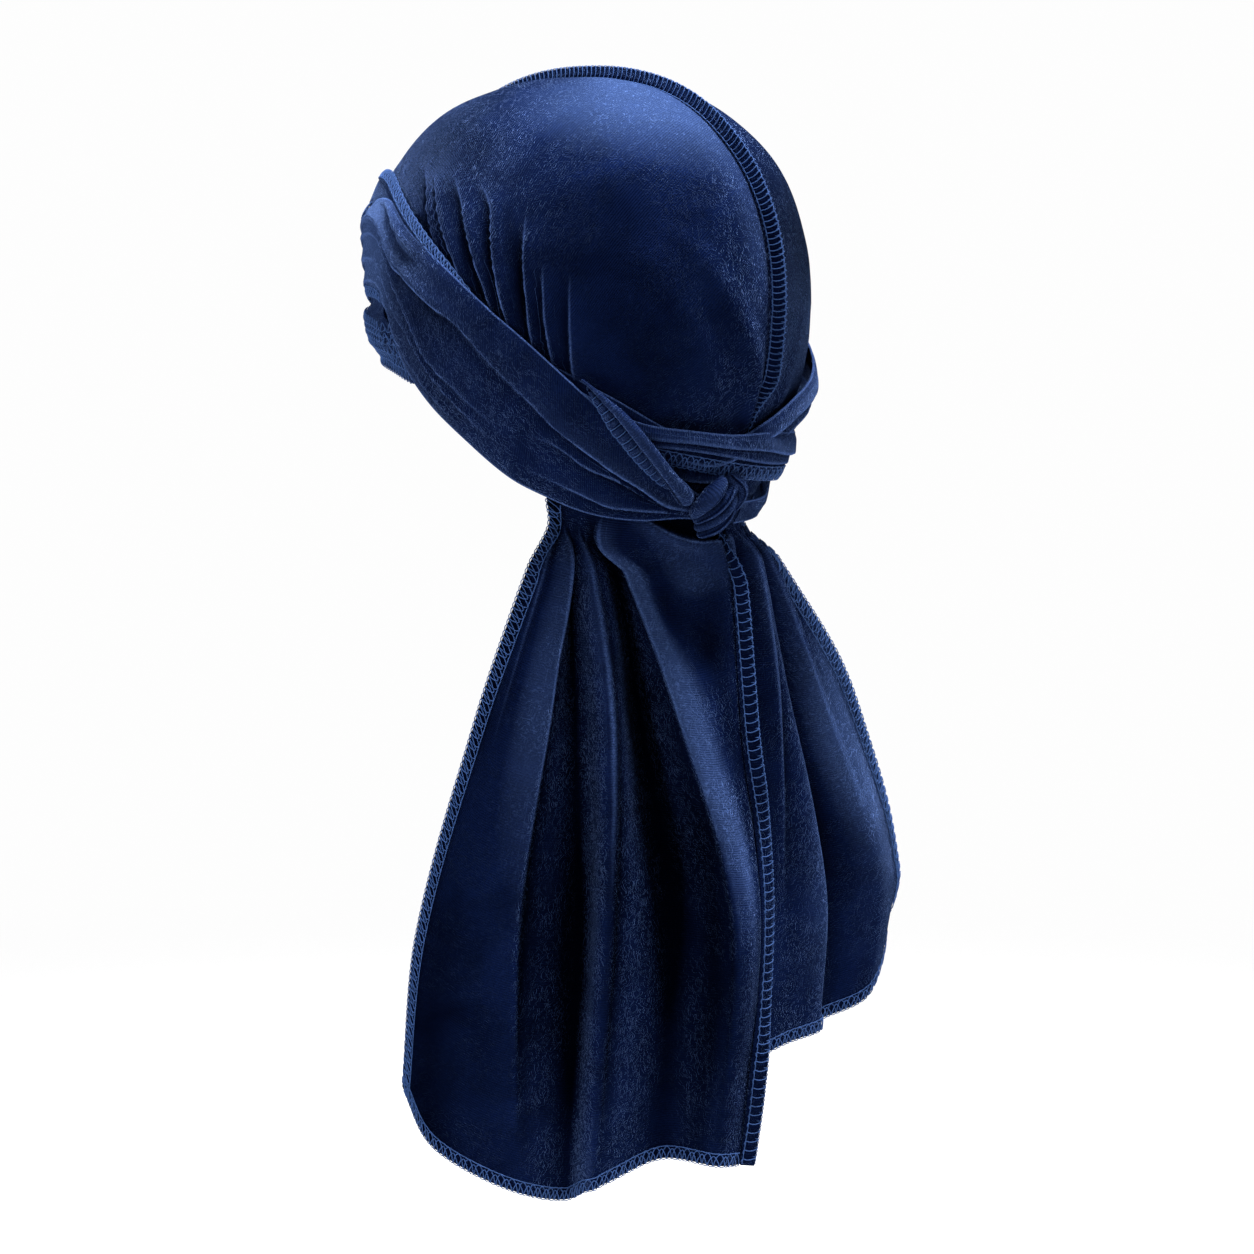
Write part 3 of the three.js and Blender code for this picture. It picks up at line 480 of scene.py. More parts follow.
# Rows of hem stitches: the pattern, its pitch, and each row's place up the hem.
HEM_ROWS = [
    (HEM_ZIGZAG, 3.4, (0.2, 4.4, 8.6, 12.8, 17.0)),
    (HEM_LOOPS, 3.0, (0.6, 4.9, 9.2, 13.5, 16.0, 18.6)),
]

# Soft lights: turn from the camera and elevation in degrees, distance and breadth in metres, and
# share of the key light's power.
LIGHTS = {
    "key_left": (-75, 24, 1.6, 0.6, 0.6),
    "top": (65, 78, 1.4, 0.5, 2.6),
    "rim_right": (85, 18, 1.7, 0.6, 0.45),
    "fill_front": (-30, 25, 2.2, 1.0, 0.36),
}
LIGHT_CENTRE = Vector((0, 0, -0.2))
FLOOR_RADIUS = 2.4
FLOOR_FADE = (0.75, 1.5)
SENSOR_WIDTH = 36
CAMERA_ASIDE = 0.0167
CAMERA_AIM_HEIGHT = -0.221

# ---------------------------------------------------------------- head form


def form_share(height):
    """Size of the head form at a height, as a share of its widest level."""
    rise = np.clip((height + CROWN_DEPTH) / CROWN_DEPTH, 0, 1)
    above = (1 - rise ** CROWN_ROUNDNESS) ** (1 / CROWN_ROUNDNESS)
    return np.where(height < -CROWN_DEPTH, FORM_BELOW.read("share", -height), above)


def forehead_share(angle, height):
    """How far the forehead is flattened at a place, as a share of the form's size."""
    front = smooth(-np.sin(np.radians(angle)), 0.1, 0.6)
    return 1 - FOREHEAD_FLATNESS * front * smooth(-height, FOREHEAD_TOP, CROWN_DEPTH)


def form_normal(point):
    """Way out of the head form at a point on it or near it."""
    x, y, z = point[..., 0], point[..., 1], point[..., 2]
    out = np.hypot(x / HALF_WIDTH, y / HALF_LENGTH)
    below = z < -CROWN_DEPTH
    above_scale = np.maximum(out, 1e-6) ** (CROWN_ROUNDNESS - 2)
    scale = np.where(below, 1 / np.maximum(out, 1e-6), above_scale)
    fall = (form_share(z - 1) - form_share(z + 1)) / 2
    rise = np.clip((z + CROWN_DEPTH) / CROWN_DEPTH, 0, None)
    up = np.where(below, fall, rise ** (CROWN_ROUNDNESS - 1) / CROWN_DEPTH)
    return unit(np.stack([x / HALF_WIDTH ** 2 * scale, y / HALF_LENGTH ** 2 * scale, up], -1))


def form_point(angle, height, lift=0.0):
    """Point of the head form, lifted off it along its normal."""
    angle, height = np.broadcast_arrays(np.asarray(angle, float), np.asarray(height, float))
    share = form_share(height) * forehead_share(angle, height)
    turn = np.radians(angle)
    x = HALF_WIDTH * share * np.cos(turn)
    y = HALF_LENGTH * share * np.sin(turn)
    point = np.stack([x, y, height], -1)
    return point + form_normal(point) * np.asarray(lift, float)[..., None]


def polar_of_height(height):
    """Angle from the crown's top that stands for a height, carried on below the crown."""
    below = 90 + (-CROWN_DEPTH - height) / HEIGHT_PER_DEGREE
    rise = np.clip((height + CROWN_DEPTH) / CROWN_DEPTH, 0, 1)
    above = np.degrees(np.arccos(rise ** (CROWN_ROUNDNESS / 2)))
    return np.where(height < -CROWN_DEPTH, below, above)


BROW_TURN = -polar_of_height(np.array(BROW_HEIGHT))
NAPE_TURN = polar_of_height(np.array(NAPE_HEIGHT))


def direction(angle, height):
    """Way from the form's middle to a place on it."""
    polar = np.radians(polar_of_height(np.asarray(height, float)))
    turn = np.radians(angle)
    return np.stack([np.sin(polar) * np.cos(turn), np.sin(polar) * np.sin(turn), np.cos(polar)], -1)


def point_of_direction(way):
    """Point of the head form that lies this way from its middle."""
    polar = np.degrees(np.arccos(np.clip(way[..., 2], -1, 1)))
    angle = np.degrees(np.arctan2(way[..., 1], way[..., 0]))
    rise = np.maximum(way[..., 2], 0) ** (2 / CROWN_ROUNDNESS) * CROWN_DEPTH
    drop = np.maximum(polar - 90, 0) * HEIGHT_PER_DEGREE
    return form_point(angle, -CROWN_DEPTH + rise - drop)


def midline(turn, drift):
    """Directions along the seam over the head, drift degrees aside of the middle."""
    flat, aside = np.sin(np.radians(turn)), np.radians(drift)
    return np.stack([flat * np.sin(aside), flat * np.cos(aside), np.cos(np.radians(turn))], -1)


def arc_between(start, end, t):
    """Directions along the shortest arc from one direction to another."""
    whole = np.arccos(np.clip(np.sum(start * end, -1, keepdims=True), -1, 1))
    whole = np.maximum(whole, 1e-6)
    return (start * np.sin((1 - t) * whole) + end * np.sin(t * whole)) / np.sin(whole)


def angle_of(points):
    """Angle round the head at which points lie."""
    return np.degrees(np.arctan2(points[..., 1] / HALF_LENGTH, points[..., 0] / HALF_WIDTH))


# ---------------------------------------------------------------- cloth surfaces


def crown_ribs(edge, v, shares, drift):
    """Ribs of the crown on the left of the head, one for each value of v (brow 0, nape 1)."""
    edge_angle = lerp(edge.first, edge.last, v)
    start = midline(lerp(BROW_TURN, NAPE_TURN, v), drift)[:, None, :]
    end = direction(edge_angle, edge.read("height", edge_angle))[:, None, :]
    brow_start = midline(BROW_TURN, drift)
    brow_end = direction(edge.first, edge.read("height", edge.first))
    hem_angle = lerp(HEM_EDGE.first - drift, HEM_EDGE.last, shares)
    hem = direction(hem_angle, HEM_EDGE.read("height", hem_angle))
    fade = ((1 - v) ** HEM_REACH)[:, None, None]
    correction = (hem - arc_between(brow_start, brow_end, shares[..., None])) * fade
    return point_of_direction(unit(arc_between(start, end, shares[..., None]) + correction))


def spline_points(points, t):
    """Centripetal Catmull-Rom curve through points, read at t from 0 to 1."""
    points = np.array(points, float)
    ends = np.vstack([2 * points[0] - points[1], points, 2 * points[-1] - points[-2]])
    place = np.clip(t, 0, 1) * (len(points) - 1)
    i = np.minimum(place.astype(int), len(points) - 2)
    w = (place - i)[:, None]
    p0, p1, p2, p3 = (ends[i + k] for k in range(4))
    gap = [np.maximum(np.linalg.norm(b - a, axis=1, keepdims=True) ** 0.5, 1e-4)
           for a, b in ((p0, p1), (p1, p2), (p2, p3))]
    leave = (p1 - p0) / gap[0] - (p2 - p0) / (gap[0] + gap[1]) + (p2 - p1) / gap[1]
    arrive = (p2 - p1) / gap[1] - (p3 - p1) / (gap[1] + gap[2]) + (p3 - p2) / gap[2]
    leave, arrive = leave * gap[1], arrive * gap[1]
    curve = 2 * p1 - 2 * p2 + leave + arrive
    return p1 + w * (leave + w * (3 * (p2 - p1) - 2 * leave - arrive + w * curve))


def spline_thread(points, count):
    return spline_points(points, np.linspace(0, 1, count))


def read_lines(knots, values, at):
    """Smooth reading down many lines at once: knots and values are (knot, line)."""
    slope = slopes(knots, values)
    result = None
    for i in range(len(knots) - 1):
        span = knots[i + 1] - knots[i]
        t = (at - knots[i]) / span
        value = eased(values[i], values[i + 1], slope[i], slope[i + 1], span, t)
        result = np.where(at > knots[i], value, result) if i else value
    return result


def shingle(d, reach, step=0.9, dip=0.35):
    """Height of an overlapping fold: gentle before its crest (d < 0), a sharp step after it."""
    over = smooth(d, 0, step)
    back = np.exp(-np.abs(d) / (0.45 * reach))
    return (1 - over) * np.exp(np.minimum(d, 0) / reach) - over * dip * back


class PaintedLight:
    """Painted light and shade on the pile, by three values: a painted highlight above 0 and painted shade
    below it, the distance in millimetres from the nearest crease, and how plain the painted highlight line
    along that crease is."""

    far = 4.0

    def __init__(self, shape, lit=0.45):
        self.lit = lit
        self.light_and_shade = np.zeros(shape)
        self.crease = np.full(shape, self.far)
        self.fold = np.zeros(shape)

    def add_fold(self, d, strength, reach, line=1.0):
        """A fold with its crest at d = 0, its gentle side at d < 0 and its hollow at d > 0: painted
        highlight on the gentle side, painted shade in the hollow and a painted highlight line along the
        crest.
        """
        lit = np.exp(-np.abs(d) / (0.7 * reach)) * (d < 0)
        hollow = smooth(d, 0.1, 1.0) * np.exp(-np.maximum(d - 1.0, 0) / (0.45 * reach))
        self.light_and_shade += strength * (self.lit * lit - hollow)
        near = line * strength * (1 - smooth(np.abs(d), 2.0, 3.5))
        closer = near > self.fold
        self.fold = np.where(closer, near, self.fold)
        self.crease = np.where(closer, np.clip(d, -self.far, self.far), self.crease)

    def brush(self, patches, across, drop, where):
        """Paints soft patches of highlight (amount above 0) and shade (below 0): middle across and down,
        breadth, length and amount of each.
        """
        for middle, level, breadth, long, amount in patches:
            patch = np.exp(-((across - middle) / breadth) ** 2 - ((drop - level) / long) ** 2)
            self.light_and_shade += amount * patch * where

    def layers(self):
        """The values that a mesh stores at its points, by the name of the attribute."""
        return {"light_and_shade": np.clip(self.light_and_shade, -1, 1), "crease": self.crease,
                "fold": np.clip(self.fold, 0, 1.2)}


def rumple(points, size, seed):
    """Gentle irregular waves about as long as size, between -1 and 1."""
    rng = np.random.default_rng(seed)
    total = np.zeros(points.shape[:-1])
    for _ in range(7):
        way = unit(rng.normal(size=3)) * (2 * np.pi / (size * rng.uniform(0.7, 1.6)))
        total += np.sin(points @ way + rng.uniform(0, 2 * np.pi))
    return total / 3.2


def grid_normals(grid, hint):
    """Normals of a grid of points, on the side that hint points to at the crown."""
    normals = unit(np.cross(np.gradient(grid, axis=0), np.gradient(grid, axis=1)))
    middle = normals[len(grid) // 4, grid.shape[1] // 2]
    return normals if middle @ hint > 0 else -normals


def panel_base(side, crown_rows, tail_rows, columns):
    """Inner face of one panel, rows from the brow over the crown and down to the tail's hem."""
    folds = TAIL_FOLDS[side]
    steps = np.cumsum([fold[1] for fold in folds])
    coarse = np.linspace(0, steps[-1], columns)
    place = np.interp(coarse, steps, np.arange(len(folds)))
    share = np.interp(place, np.arange(len(folds)), [fold[2] for fold in folds])
    even = coarse / steps[-1]
    v = np.linspace(0, 1, crown_rows)
    gather = smooth(v, GATHER_START, 1)[:, None]
    shares = lerp(even[None], share[None], gather)
    crown = handed(crown_ribs(SIDE_EDGE[side], v, shares, SEAM_DRIFT * HAND[side]), side)
    nape = crown[-1]
    along = place / (len(folds) - 1)
    lines = [nape, form_point(angle_of(nape), nape[:, 2] - TUCK_DROP, TUCK_LIFT)]
    for level, height in enumerate(TAIL_HEIGHTS):
        lines.append(spline_points([(*fold[3 + level], height) for fold in folds], along))
    lines.append(spline_points([fold[6] for fold in folds], along))
    lines = np.array(lines)
    t = (np.arange(1, tail_rows + 1) / tail_rows) ** TAIL_CROWDING
    drop = lerp(-lines[0, :, 2], -lines[-1, :, 2], t[:, None])
    x = read_lines(-lines[..., 2], lines[..., 0], drop)
    y = read_lines(-lines[..., 2], lines[..., 1], drop)
    return np.vstack([crown, np.stack([x, y, -drop], -1)]), share, place


def hollow_shade(points, across):
    """Dark in the hollows of each row, judged against the row's own wide sweep, 0 elsewhere."""
    weights = np.exp(-((across[:, :, None] - across[:, None, :]) / HOLLOW_REACH) ** 2)
    sweep = np.einsum("rij,rjk->rik", weights, points) / weights.sum(2)[..., None]
    out = unit(np.array([0.25, 0.97, 0.0]))  # backwards, and a little to the wearer's left
    height = (points - sweep) @ out
    return np.clip(height / 4.0 - 0.08, -1.0, 0.0)


def wrap_cover(side, angle, height):
    """How far below the top edge of the outer wrap a point of the crown lies, in millimetres."""
    if side == "left":
        left = STRAPS["left"].read("top", np.where(angle < 90, angle + 360, 450))
        right = STRAPS["right"].read("top", 180 - angle)
        return np.maximum(left, right) - height
    mirrored = np.where(angle < -90, -180 - angle, 180 - angle)
    near = STRAPS["right"].read("top", mirrored + 360)
    far = STRAPS["left"].read("top", np.mod(angle, 360))
    return np.maximum(near, far) - height


def panel_grid(side, crown_rows, tail_rows, columns):
    """Inner face of a panel with its pleats, its outward normals and its painted light and shade."""
    base, share, place = panel_base(side, crown_rows, tail_rows, columns)
    hint = np.array([HAND[side], 0, 1.0])
    normals = grid_normals(base, hint)
    drop = -base[..., 2]
    angle = angle_of(handed(base, side))
    per_degree = np.radians(np.hypot(base[..., 0], base[..., 1]))
    rows = np.arange(len(base))[:, None] * np.ones(base.shape[1])
    on_crown = 1 - smooth(rows, crown_rows - 4, crown_rows + 2)
    on_tail = 1 - on_crown
    cover = wrap_cover(side, angle_of(base), base[..., 2])
    pressed = 1 - WRAP_PRESS * smooth(cover, -0.5, 4)
    relief = np.zeros(drop.shape)
    pile = PaintedLight(drop.shape)
    for fold in CROWN_PLEATS[side]:
        line = fold.read("angle", drop)
        slope = (fold.read("angle", drop + 2) - fold.read("angle", drop - 2)) / 4
        away = (line - angle) * per_degree / np.sqrt(1 + (slope * per_degree) ** 2)
        rise = np.where(drop < fold.last, fold.read("rise", drop), 0)
        rise = rise * (drop > fold.first) * pressed * on_crown
        reach = fold.read("reach", drop)
        relief += rise * shingle(away, reach)
        # painted highlight on the pleat's gentle side, painted shade in its hollow and a painted line along
        # its crest
        pile.add_fold(away, rise / PLEAT_FULL, reach)
    for bulge in CROWN_SWELLS[side]:
        away = (angle - bulge.read("angle", drop)) * per_degree
        rise = np.where((drop > bulge.first) & (drop < SWELL_LAST), bulge.read("rise", drop), 0)
        relief += rise * np.exp(-(away / bulge.read("breadth", drop)) ** 2) * pressed * on_crown
    across = lengths(base, 1)
    for toward, fold in TAIL_CRESTS[side]:
        at = fold.read("place", drop[:, 0])
        line = np.array([np.interp(a, place, row) for a, row in zip(at, across)])[:, None]
        away = (line - across) * toward
        rise = fold.read("rise", drop) * (drop > fold.first) * on_tail
        reach = fold.read("reach", drop)
        relief += rise * shingle(away, reach, step=2.2, dip=0.5)
        # painted highlight, shade and crest line for each fold of the tail
        pile.add_fold(away, rise / FOLD_FULL, reach, 0.6 * (1 - smooth(drop, 230, 330)))
    hidden = np.zeros(drop.shape)
    for edge in TAIL_RIMS[side]:
        above = edge.read("drop", place)[None] - drop
        rise = edge.read("rise", place)[None] * (place < edge.last) * on_tail
        relief += rise * shingle(above, RIM_REACH, step=1.6, dip=0.2)
        # painted highlight below each rim and painted shade in the hollow above it
        pile.add_fold(above, rise / FOLD_FULL, RIM_REACH)
        full = np.clip(rise / FOLD_FULL, 0, 1)
        hidden = np.maximum(hidden, smooth(above, 0.3, 1.6) * full)
    # painted highlight and shade in patches on the tail and the crown, and painted shade in the hollows of
    # the tail's rows
    pile.brush(TAIL_PAINTED_LIGHT[side], place[None], drop, on_tail)
    pile.brush(CROWN_PAINTED_LIGHT[side], angle, drop, on_crown)
    pile.light_and_shade += hollow_shade(base, across) * on_tail
    # painted shade in the hollow above each rim, which is also pressed in
    pile.light_and_shade = lerp(pile.light_and_shade, -1.2, hidden)
    relief -= 0.9 * hidden
    below = np.clip(drop - TAIL_TOP, 0, None) * on_tail
    free = on_crown * (1 - smooth(cover, -8, 0)) + on_tail * smooth(below, 0, 30)
    relief += (CLOTH_RUMPLE[0] * free * rumple(base, *CLOTH_RUMPLE[1:])
               + TAIL_RUMPLE[0] * on_tail * free * rumple(base, *TAIL_RUMPLE[1:]))
    seam_fade = smooth(share[None] * 200, 0, 9)
    grid = base + normals * (relief * seam_fade)[..., None]
    pile.fold = pile.fold * seam_fade
    return grid, grid_normals(grid, hint), pile


def strap_grid(side, stations, columns):
    """Inner face of a strap along its whole path, its normals and its painted light and shade."""
    track = STRAPS[side]
    travel = np.linspace(track.first, track.last, stations)[:, None]
    across = np.linspace(0, 1, columns)[None]
    top, bottom = track.read("top", travel), track.read("bottom", travel)
    width = top - bottom
    relief = np.zeros((stations, columns))
    pile = PaintedLight((stations, columns), 0.32)
    for fold in STRAP_FOLDS[side]:
        away = (across - fold.read("across", travel)) * width
        inside = (travel > fold.first) & (travel < fold.last)
        rise = np.where(inside, fold.read("rise", travel), 0)
        reach = fold.read("reach", travel)
        relief += rise * np.maximum(shingle(away, reach, dip=0.0), 0)
        pile.add_fold(away, rise / FOLD_FULL, reach)
    edge = np.minimum(across, 1 - across) * width
    relief = relief * smooth(edge, 0, 2.5) + 0.5 * smooth(edge, 0, 4)
    base = form_point(travel + 0 * across, top - width * across)
    relief += STRAP_RUMPLE[0] * smooth(edge, 0, 6) * (1 + rumple(base, *STRAP_RUMPLE[1:]))
    lift = FIRST_LAYER + LAYER_PITCH * track.read("layer", travel) + relief
    grid = handed(form_point(travel + 0 * across, top - width * across, lift), side)
    normals = unit(np.cross(np.gradient(grid, axis=0), np.gradient(grid, axis=1)))
    normals = normals * np.sign(np.sum(normals * form_normal(grid)))
    # painted highlight lines along the strap's own edges, as along the creases
    near = 0.75 * (1 - smooth(edge, 1.5, 3.0))
    pile.crease = np.where(near > pile.fold, edge - 0.3, pile.crease)
    pile.fold = np.maximum(near, pile.fold)
    # painted highlight on the left strap where it crosses the temple
    if side == "left":
        temple = np.exp(-((travel - TEMPLE_TRAVEL) / 13) ** 2)
        pile.light_and_shade += 2.2 * temple * (1 - 0.35 * across)
    return grid, normals, pile


# ---------------------------------------------------------------- materials


def rgba(colour, share=1.0):
    return tuple(share * c for c in colour) + (1.0,)


class Shading:
    """Adds nodes to a material or a world. A socket given as a value is linked."""

    def __init__(self, owner):
        owner.use_nodes = True
        self.nodes = owner.node_tree.nodes
        self.links = owner.node_tree.links

    def feed(self, socket, value):
        if isinstance(value, bpy.types.NodeSocket):
            self.links.new(value, socket)
        else:
            socket.default_value = value

    def fill(self, node, **values):
        for name, value in values.items():
            self.feed(node.inputs[name.replace("_", " ")], value)

    def add(self, kind, **values):
        node = self.nodes.new("ShaderNode" + kind)
        self.fill(node, **values)
        return node

    def noise(self, place, **values):
        return self.add("TexNoise", Vector=place, **values).outputs["Fac"]

    def attribute(self, name):
        node = self.add("Attribute")
        node.attribute_name = name
        return node.outputs["Fac"]

    def maths(self, operation, first, second=None, clamp=False):
        node = self.add("Math")
        node.operation = operation
        node.use_clamp = clamp
        self.feed(node.inputs[0], first)
        if second is not None:
            self.feed(node.inputs[1], second)
        return node.outputs[0]

    def times(self, first, second, clamp=False):
        return self.maths("MULTIPLY", first, second, clamp)

    def plus(self, first, second):
        return self.maths("ADD", first, second)

    def minus(self, first, second):
        return self.maths("SUBTRACT", first, second)

    def mix(self, kind, factor, first, second):
        node = self.add("Mix")
        node.data_type = "RGBA"
        node.blend_type = kind
        for number, value in ((0, factor), (6, first), (7, second)):
            self.feed(node.inputs[number], value)
        return node.outputs[2]


def velvet_material(name, colour, light_colour, sheen_tint, sheen):
    """Short pile on a fine knit: crushed patches, ribs across the cloth and curled lint, with painted
    highlight and shade read from the mesh.
    """
    material = bpy.data.materials.new(name)
    s = Shading(material)
    s.nodes.clear()
    where = s.add("TexCoord")
    place = where.outputs["Object"]
    patches = s.noise(place, Scale=42.0, Detail=4.0, Roughness=0.62, Distortion=0.6)
    pile = s.noise(place, Scale=1500.0, Detail=3.0, Roughness=0.7)
    curls = s.noise(place, Scale=250.0, Detail=1.0, Roughness=0.4, Distortion=2.6)
    curl_field = s.noise(place, Scale=55.0, Detail=2.0)
    knit = s.add("TexWave", Scale=2 * math.pi / 20 / KNIT_RIB, Distortion=1.6, Detail=2.0,
                 Detail_Scale=0.35, Vector=where.outputs["UV"])
    knit.wave_type = "BANDS"
    knit.bands_direction = "Y"
    knit = knit.outputs["Fac"]

    # curled lint, in loose fields
    off_line = s.maths("ABSOLUTE", s.minus(curls, 0.5))
    curl = s.maths("SUBTRACT", 1.0, s.maths("DIVIDE", off_line, 0.05), clamp=True)
    curl = s.times(curl, s.times(s.minus(curl_field, 0.22), 3.0, True))

    # painted highlight and painted shade from the mesh, and a painted highlight line along each crease,
    # broken up by the pile's grain
    light_and_shade = s.attribute("light_and_shade")
    up = s.times(light_and_shade, 1.0, clamp=True)
    up = s.times(up, s.plus(s.times(curl, 1.1), 0.6))
    up = s.times(up, s.plus(pile, 0.5))
    down = s.times(light_and_shade, -1.0, clamp=True)
    wander = s.times(s.minus(patches, 0.5), 0.5)
    off_crease = s.maths("DIVIDE", s.plus(s.attribute("crease"), wander), 0.34)
    line = s.maths("POWER", 2.718, s.times(s.times(off_crease, off_crease), -1.0))
    highlit = s.times(s.minus(pile, 0.25), 2.2, True)
    line = s.times(s.times(line, s.attribute("fold")), highlit)

    bright = rgba(light_colour)
    patch = s.times(s.minus(patches, 0.3), 2.5, True)
    tone = s.mix("MIX", patch, rgba(colour, 0.62), rgba(colour, 1.35))
    tone = s.mix("MULTIPLY", 0.6, tone, s.times(pile, 1.6))
    tone = s.mix("MULTIPLY", 0.8, tone, s.plus(s.times(knit, 0.5), 0.7))
    tone = s.mix("MIX", s.times(curl, 0.075), tone, bright)
    # painted highlight, then painted shade, then the painted highlight line along the creases
    tone = s.mix("MIX", s.times(up, 0.75, True), tone, bright)
    tone = s.mix("MIX", s.times(down, 0.985, True), tone, rgba(colour, 0.05))
    tone = s.mix("MIX", s.times(line, 0.8, True), tone, rgba(light_colour, 2.3))

    height = s.plus(s.times(pile, 0.5), s.times(knit, 0.35))
    height = s.plus(height, s.times(curl, 0.6))
    height = s.plus(height, s.times(patches, 1.2))
    bump = s.add("Bump", Strength=0.8, Distance=0.0007, Height=height)
    fluff = s.plus(s.times(curl, 1.1), 0.72)
    # less sheen where shade is painted
    flat = s.maths("SUBTRACT", 1.0, s.times(down, 0.8), clamp=True)
    fluff = s.times(s.times(fluff, flat), sheen)
    shader = s.add("BsdfPrincipled", Base_Color=tone, Roughness=0.62, Specular_IOR_Level=0.0,
                   Sheen_Weight=fluff, Sheen_Roughness=0.27, Sheen_Tint=rgba(sheen_tint),
                   Normal=bump.outputs["Normal"])
    s.add("OutputMaterial", Surface=shader.outputs["BSDF"])
    return material


def thread_material(name, colour):
    """Twisted polyester thread with a soft gloss."""
    material = bpy.data.materials.new(name)
    s = Shading(material)
    twist = s.noise(s.add("TexCoord").outputs["Object"], Scale=1800.0, Detail=2.0)
    bump = s.add("Bump", Strength=0.4, Distance=0.0002, Height=twist)
    s.fill(s.nodes["Principled BSDF"],
           Base_Color=s.mix("MIX", twist, rgba(colour, 0.35), rgba(colour, 1.6)),
           Roughness=0.5, Specular_IOR_Level=0.08, Sheen_Weight=0.25, Sheen_Roughness=0.4,
           Sheen_Tint=(0.2, 0.4, 1.0, 1.0), Normal=bump.outputs["Normal"])
    return material


def named_material(name, make):
    return bpy.data.materials.get(name) or make(name)


def velvet(cloth, name="navy_velvet", share=1.0, sheen=0.45):
    colour = [share * c for c in cloth.velvet_colour]
    return named_material(name, lambda name: velvet_material(
        name, colour, cloth.highlight_colour, cloth.sheen_colour, sheen))


def thread(stitching):
    return named_material("navy_thread", lambda name: thread_material(name, stitching.thread_colour))


# ---------------------------------------------------------------- meshes


def lay_grid(mesh, points):
    """Fills a mesh with a grid laid on rows of points, and gives each vertex's row and column."""
    rows, columns = points.shape[:2]
    grid = bmesh.new()
    bmesh.ops.create_grid(grid, x_segments=columns - 1, y_segments=rows - 1, size=0.5)
    grid.to_mesh(mesh)
    grid.free()
    flat = np.empty(len(mesh.vertices) * 3)
    mesh.vertices.foreach_get("co", flat)
    flat = flat.reshape(-1, 3)
    c = np.rint((flat[:, 0] + 0.5) * (columns - 1)).astype(int)
    r = np.rint((flat[:, 1] + 0.5) * (rows - 1)).astype(int)
    mesh.vertices.foreach_set("co", (points[r, c] * MM).ravel())
    return r, c


def close_ends(shell, near):
    """Joins doubled points, fills the open ends and turns every face outwards."""
    bmesh.ops.remove_doubles(shell, verts=shell.verts, dist=near)
    rims = [edge for edge in shell.edges if len(edge.link_faces) == 1]
    bmesh.ops.holes_fill(shell, edges=rims, sides=0)
    bmesh.ops.recalc_face_normals(shell, faces=shell.faces)


def shade_smooth(mesh):
    mesh.polygons.foreach_set("use_smooth", np.ones(len(mesh.polygons), dtype=bool))


def sheet_mesh(name, points, normals, pile=None):
    """Grid of cloth laid on rows of points in millimetres, its faces turned along the normals."""
    mesh = bpy.data.meshes.new(name)
    r, c = lay_grid(mesh, points)
    along = lengths(points[:, points.shape[1] // 2])
    across = lengths(points, 1)
    corner = np.empty(len(mesh.loops), dtype=np.int32)
    mesh.loops.foreach_get("vertex_index", corner)
    uv = np.stack([across[r, c][corner], along[r][corner]], -1) * MM
    layer = mesh.uv_layers.new(name="cloth")
    layer.data.foreach_set("uv", uv.ravel().astype(np.float32))
    if pile is not None:
        for key, values in pile.layers().items():
            store = mesh.attributes.new(key, "FLOAT", "POINT")
            store.data.foreach_set("value", values[r, c].astype(np.float32))
    mesh.update()
    facing = np.empty(len(mesh.polygons) * 3)
    mesh.polygons.foreach_get("normal", facing)
    first = np.empty(len(mesh.polygons), dtype=np.int32)
    mesh.polygons.foreach_get("loop_start", first)
    at = corner[first]
    if np.sum(facing.reshape(-1, 3) * normals[r[at], c[at]]) < 0:
        mesh.flip_normals()
    shade_smooth(mesh)
    return mesh


def place_piece(name, mesh, material, slot, *nodes):
    """Object for a finished mesh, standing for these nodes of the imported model."""
    piece = bpy.data.objects.new(name, mesh)
    bpy.context.scene.collection.objects.link(piece)
    mesh.materials.clear()
    mesh.materials.append(material)
    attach(piece, "root")
    if nodes:
        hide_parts(*nodes)
    return piece


def place_cloth(name, surface, material, slot, node, thickness, offset=1.0):
    """Piece of cloth with a wall, from a surface of points, normals and perhaps painted light and shade."""
    piece = place_piece(name, sheet_mesh(name, *surface), material, slot, node)
    wall = piece.modifiers.new("wall", "SOLIDIFY")
    wall.thickness = thickness
    wall.offset = offset
    wall.use_even_offset = False
    wall.use_quality_normals = True
    return piece


def tube_mesh(name, runs, radius, sides):
    """Round threads along runs of points in millimetres, all in one mesh."""
    turn = np.linspace(0, 2 * np.pi, sides + 1)[None, :, None]
    whole = bmesh.new()
    part = bpy.data.meshes.new("thread_part")
    for run in runs:
        centre = np.asarray(run, float)
        tangent = unit(np.gradient(centre, axis=0))
        side = np.empty_like(tangent)
        last = np.cross(tangent[0], [0.3, 0.2, 0.93])
        for i, way in enumerate(tangent):
            last = last - way * (last @ way)
            last = last / max(math.sqrt(last @ last), 1e-9)
            side[i] = last
        other = np.cross(tangent, side)
        ring = side[:, None] * np.cos(turn) + other[:, None] * np.sin(turn)
        lay_grid(part, centre[:, None] + radius * ring)
        whole.from_mesh(part)
    bpy.data.meshes.remove(part)
    close_ends(whole, radius * MM * 0.02)
    mesh = bpy.data.meshes.new(name)
    whole.to_mesh(mesh)
    whole.free()
    shade_smooth(mesh)
    return mesh


def place_threads(name, runs, radius, stitching, sides=5):
    """One piece of thread with this radius in millimetres."""
    mesh = tube_mesh(name, runs, radius, sides)
    return place_piece(name, mesh, thread(stitching), "stitched_edge")


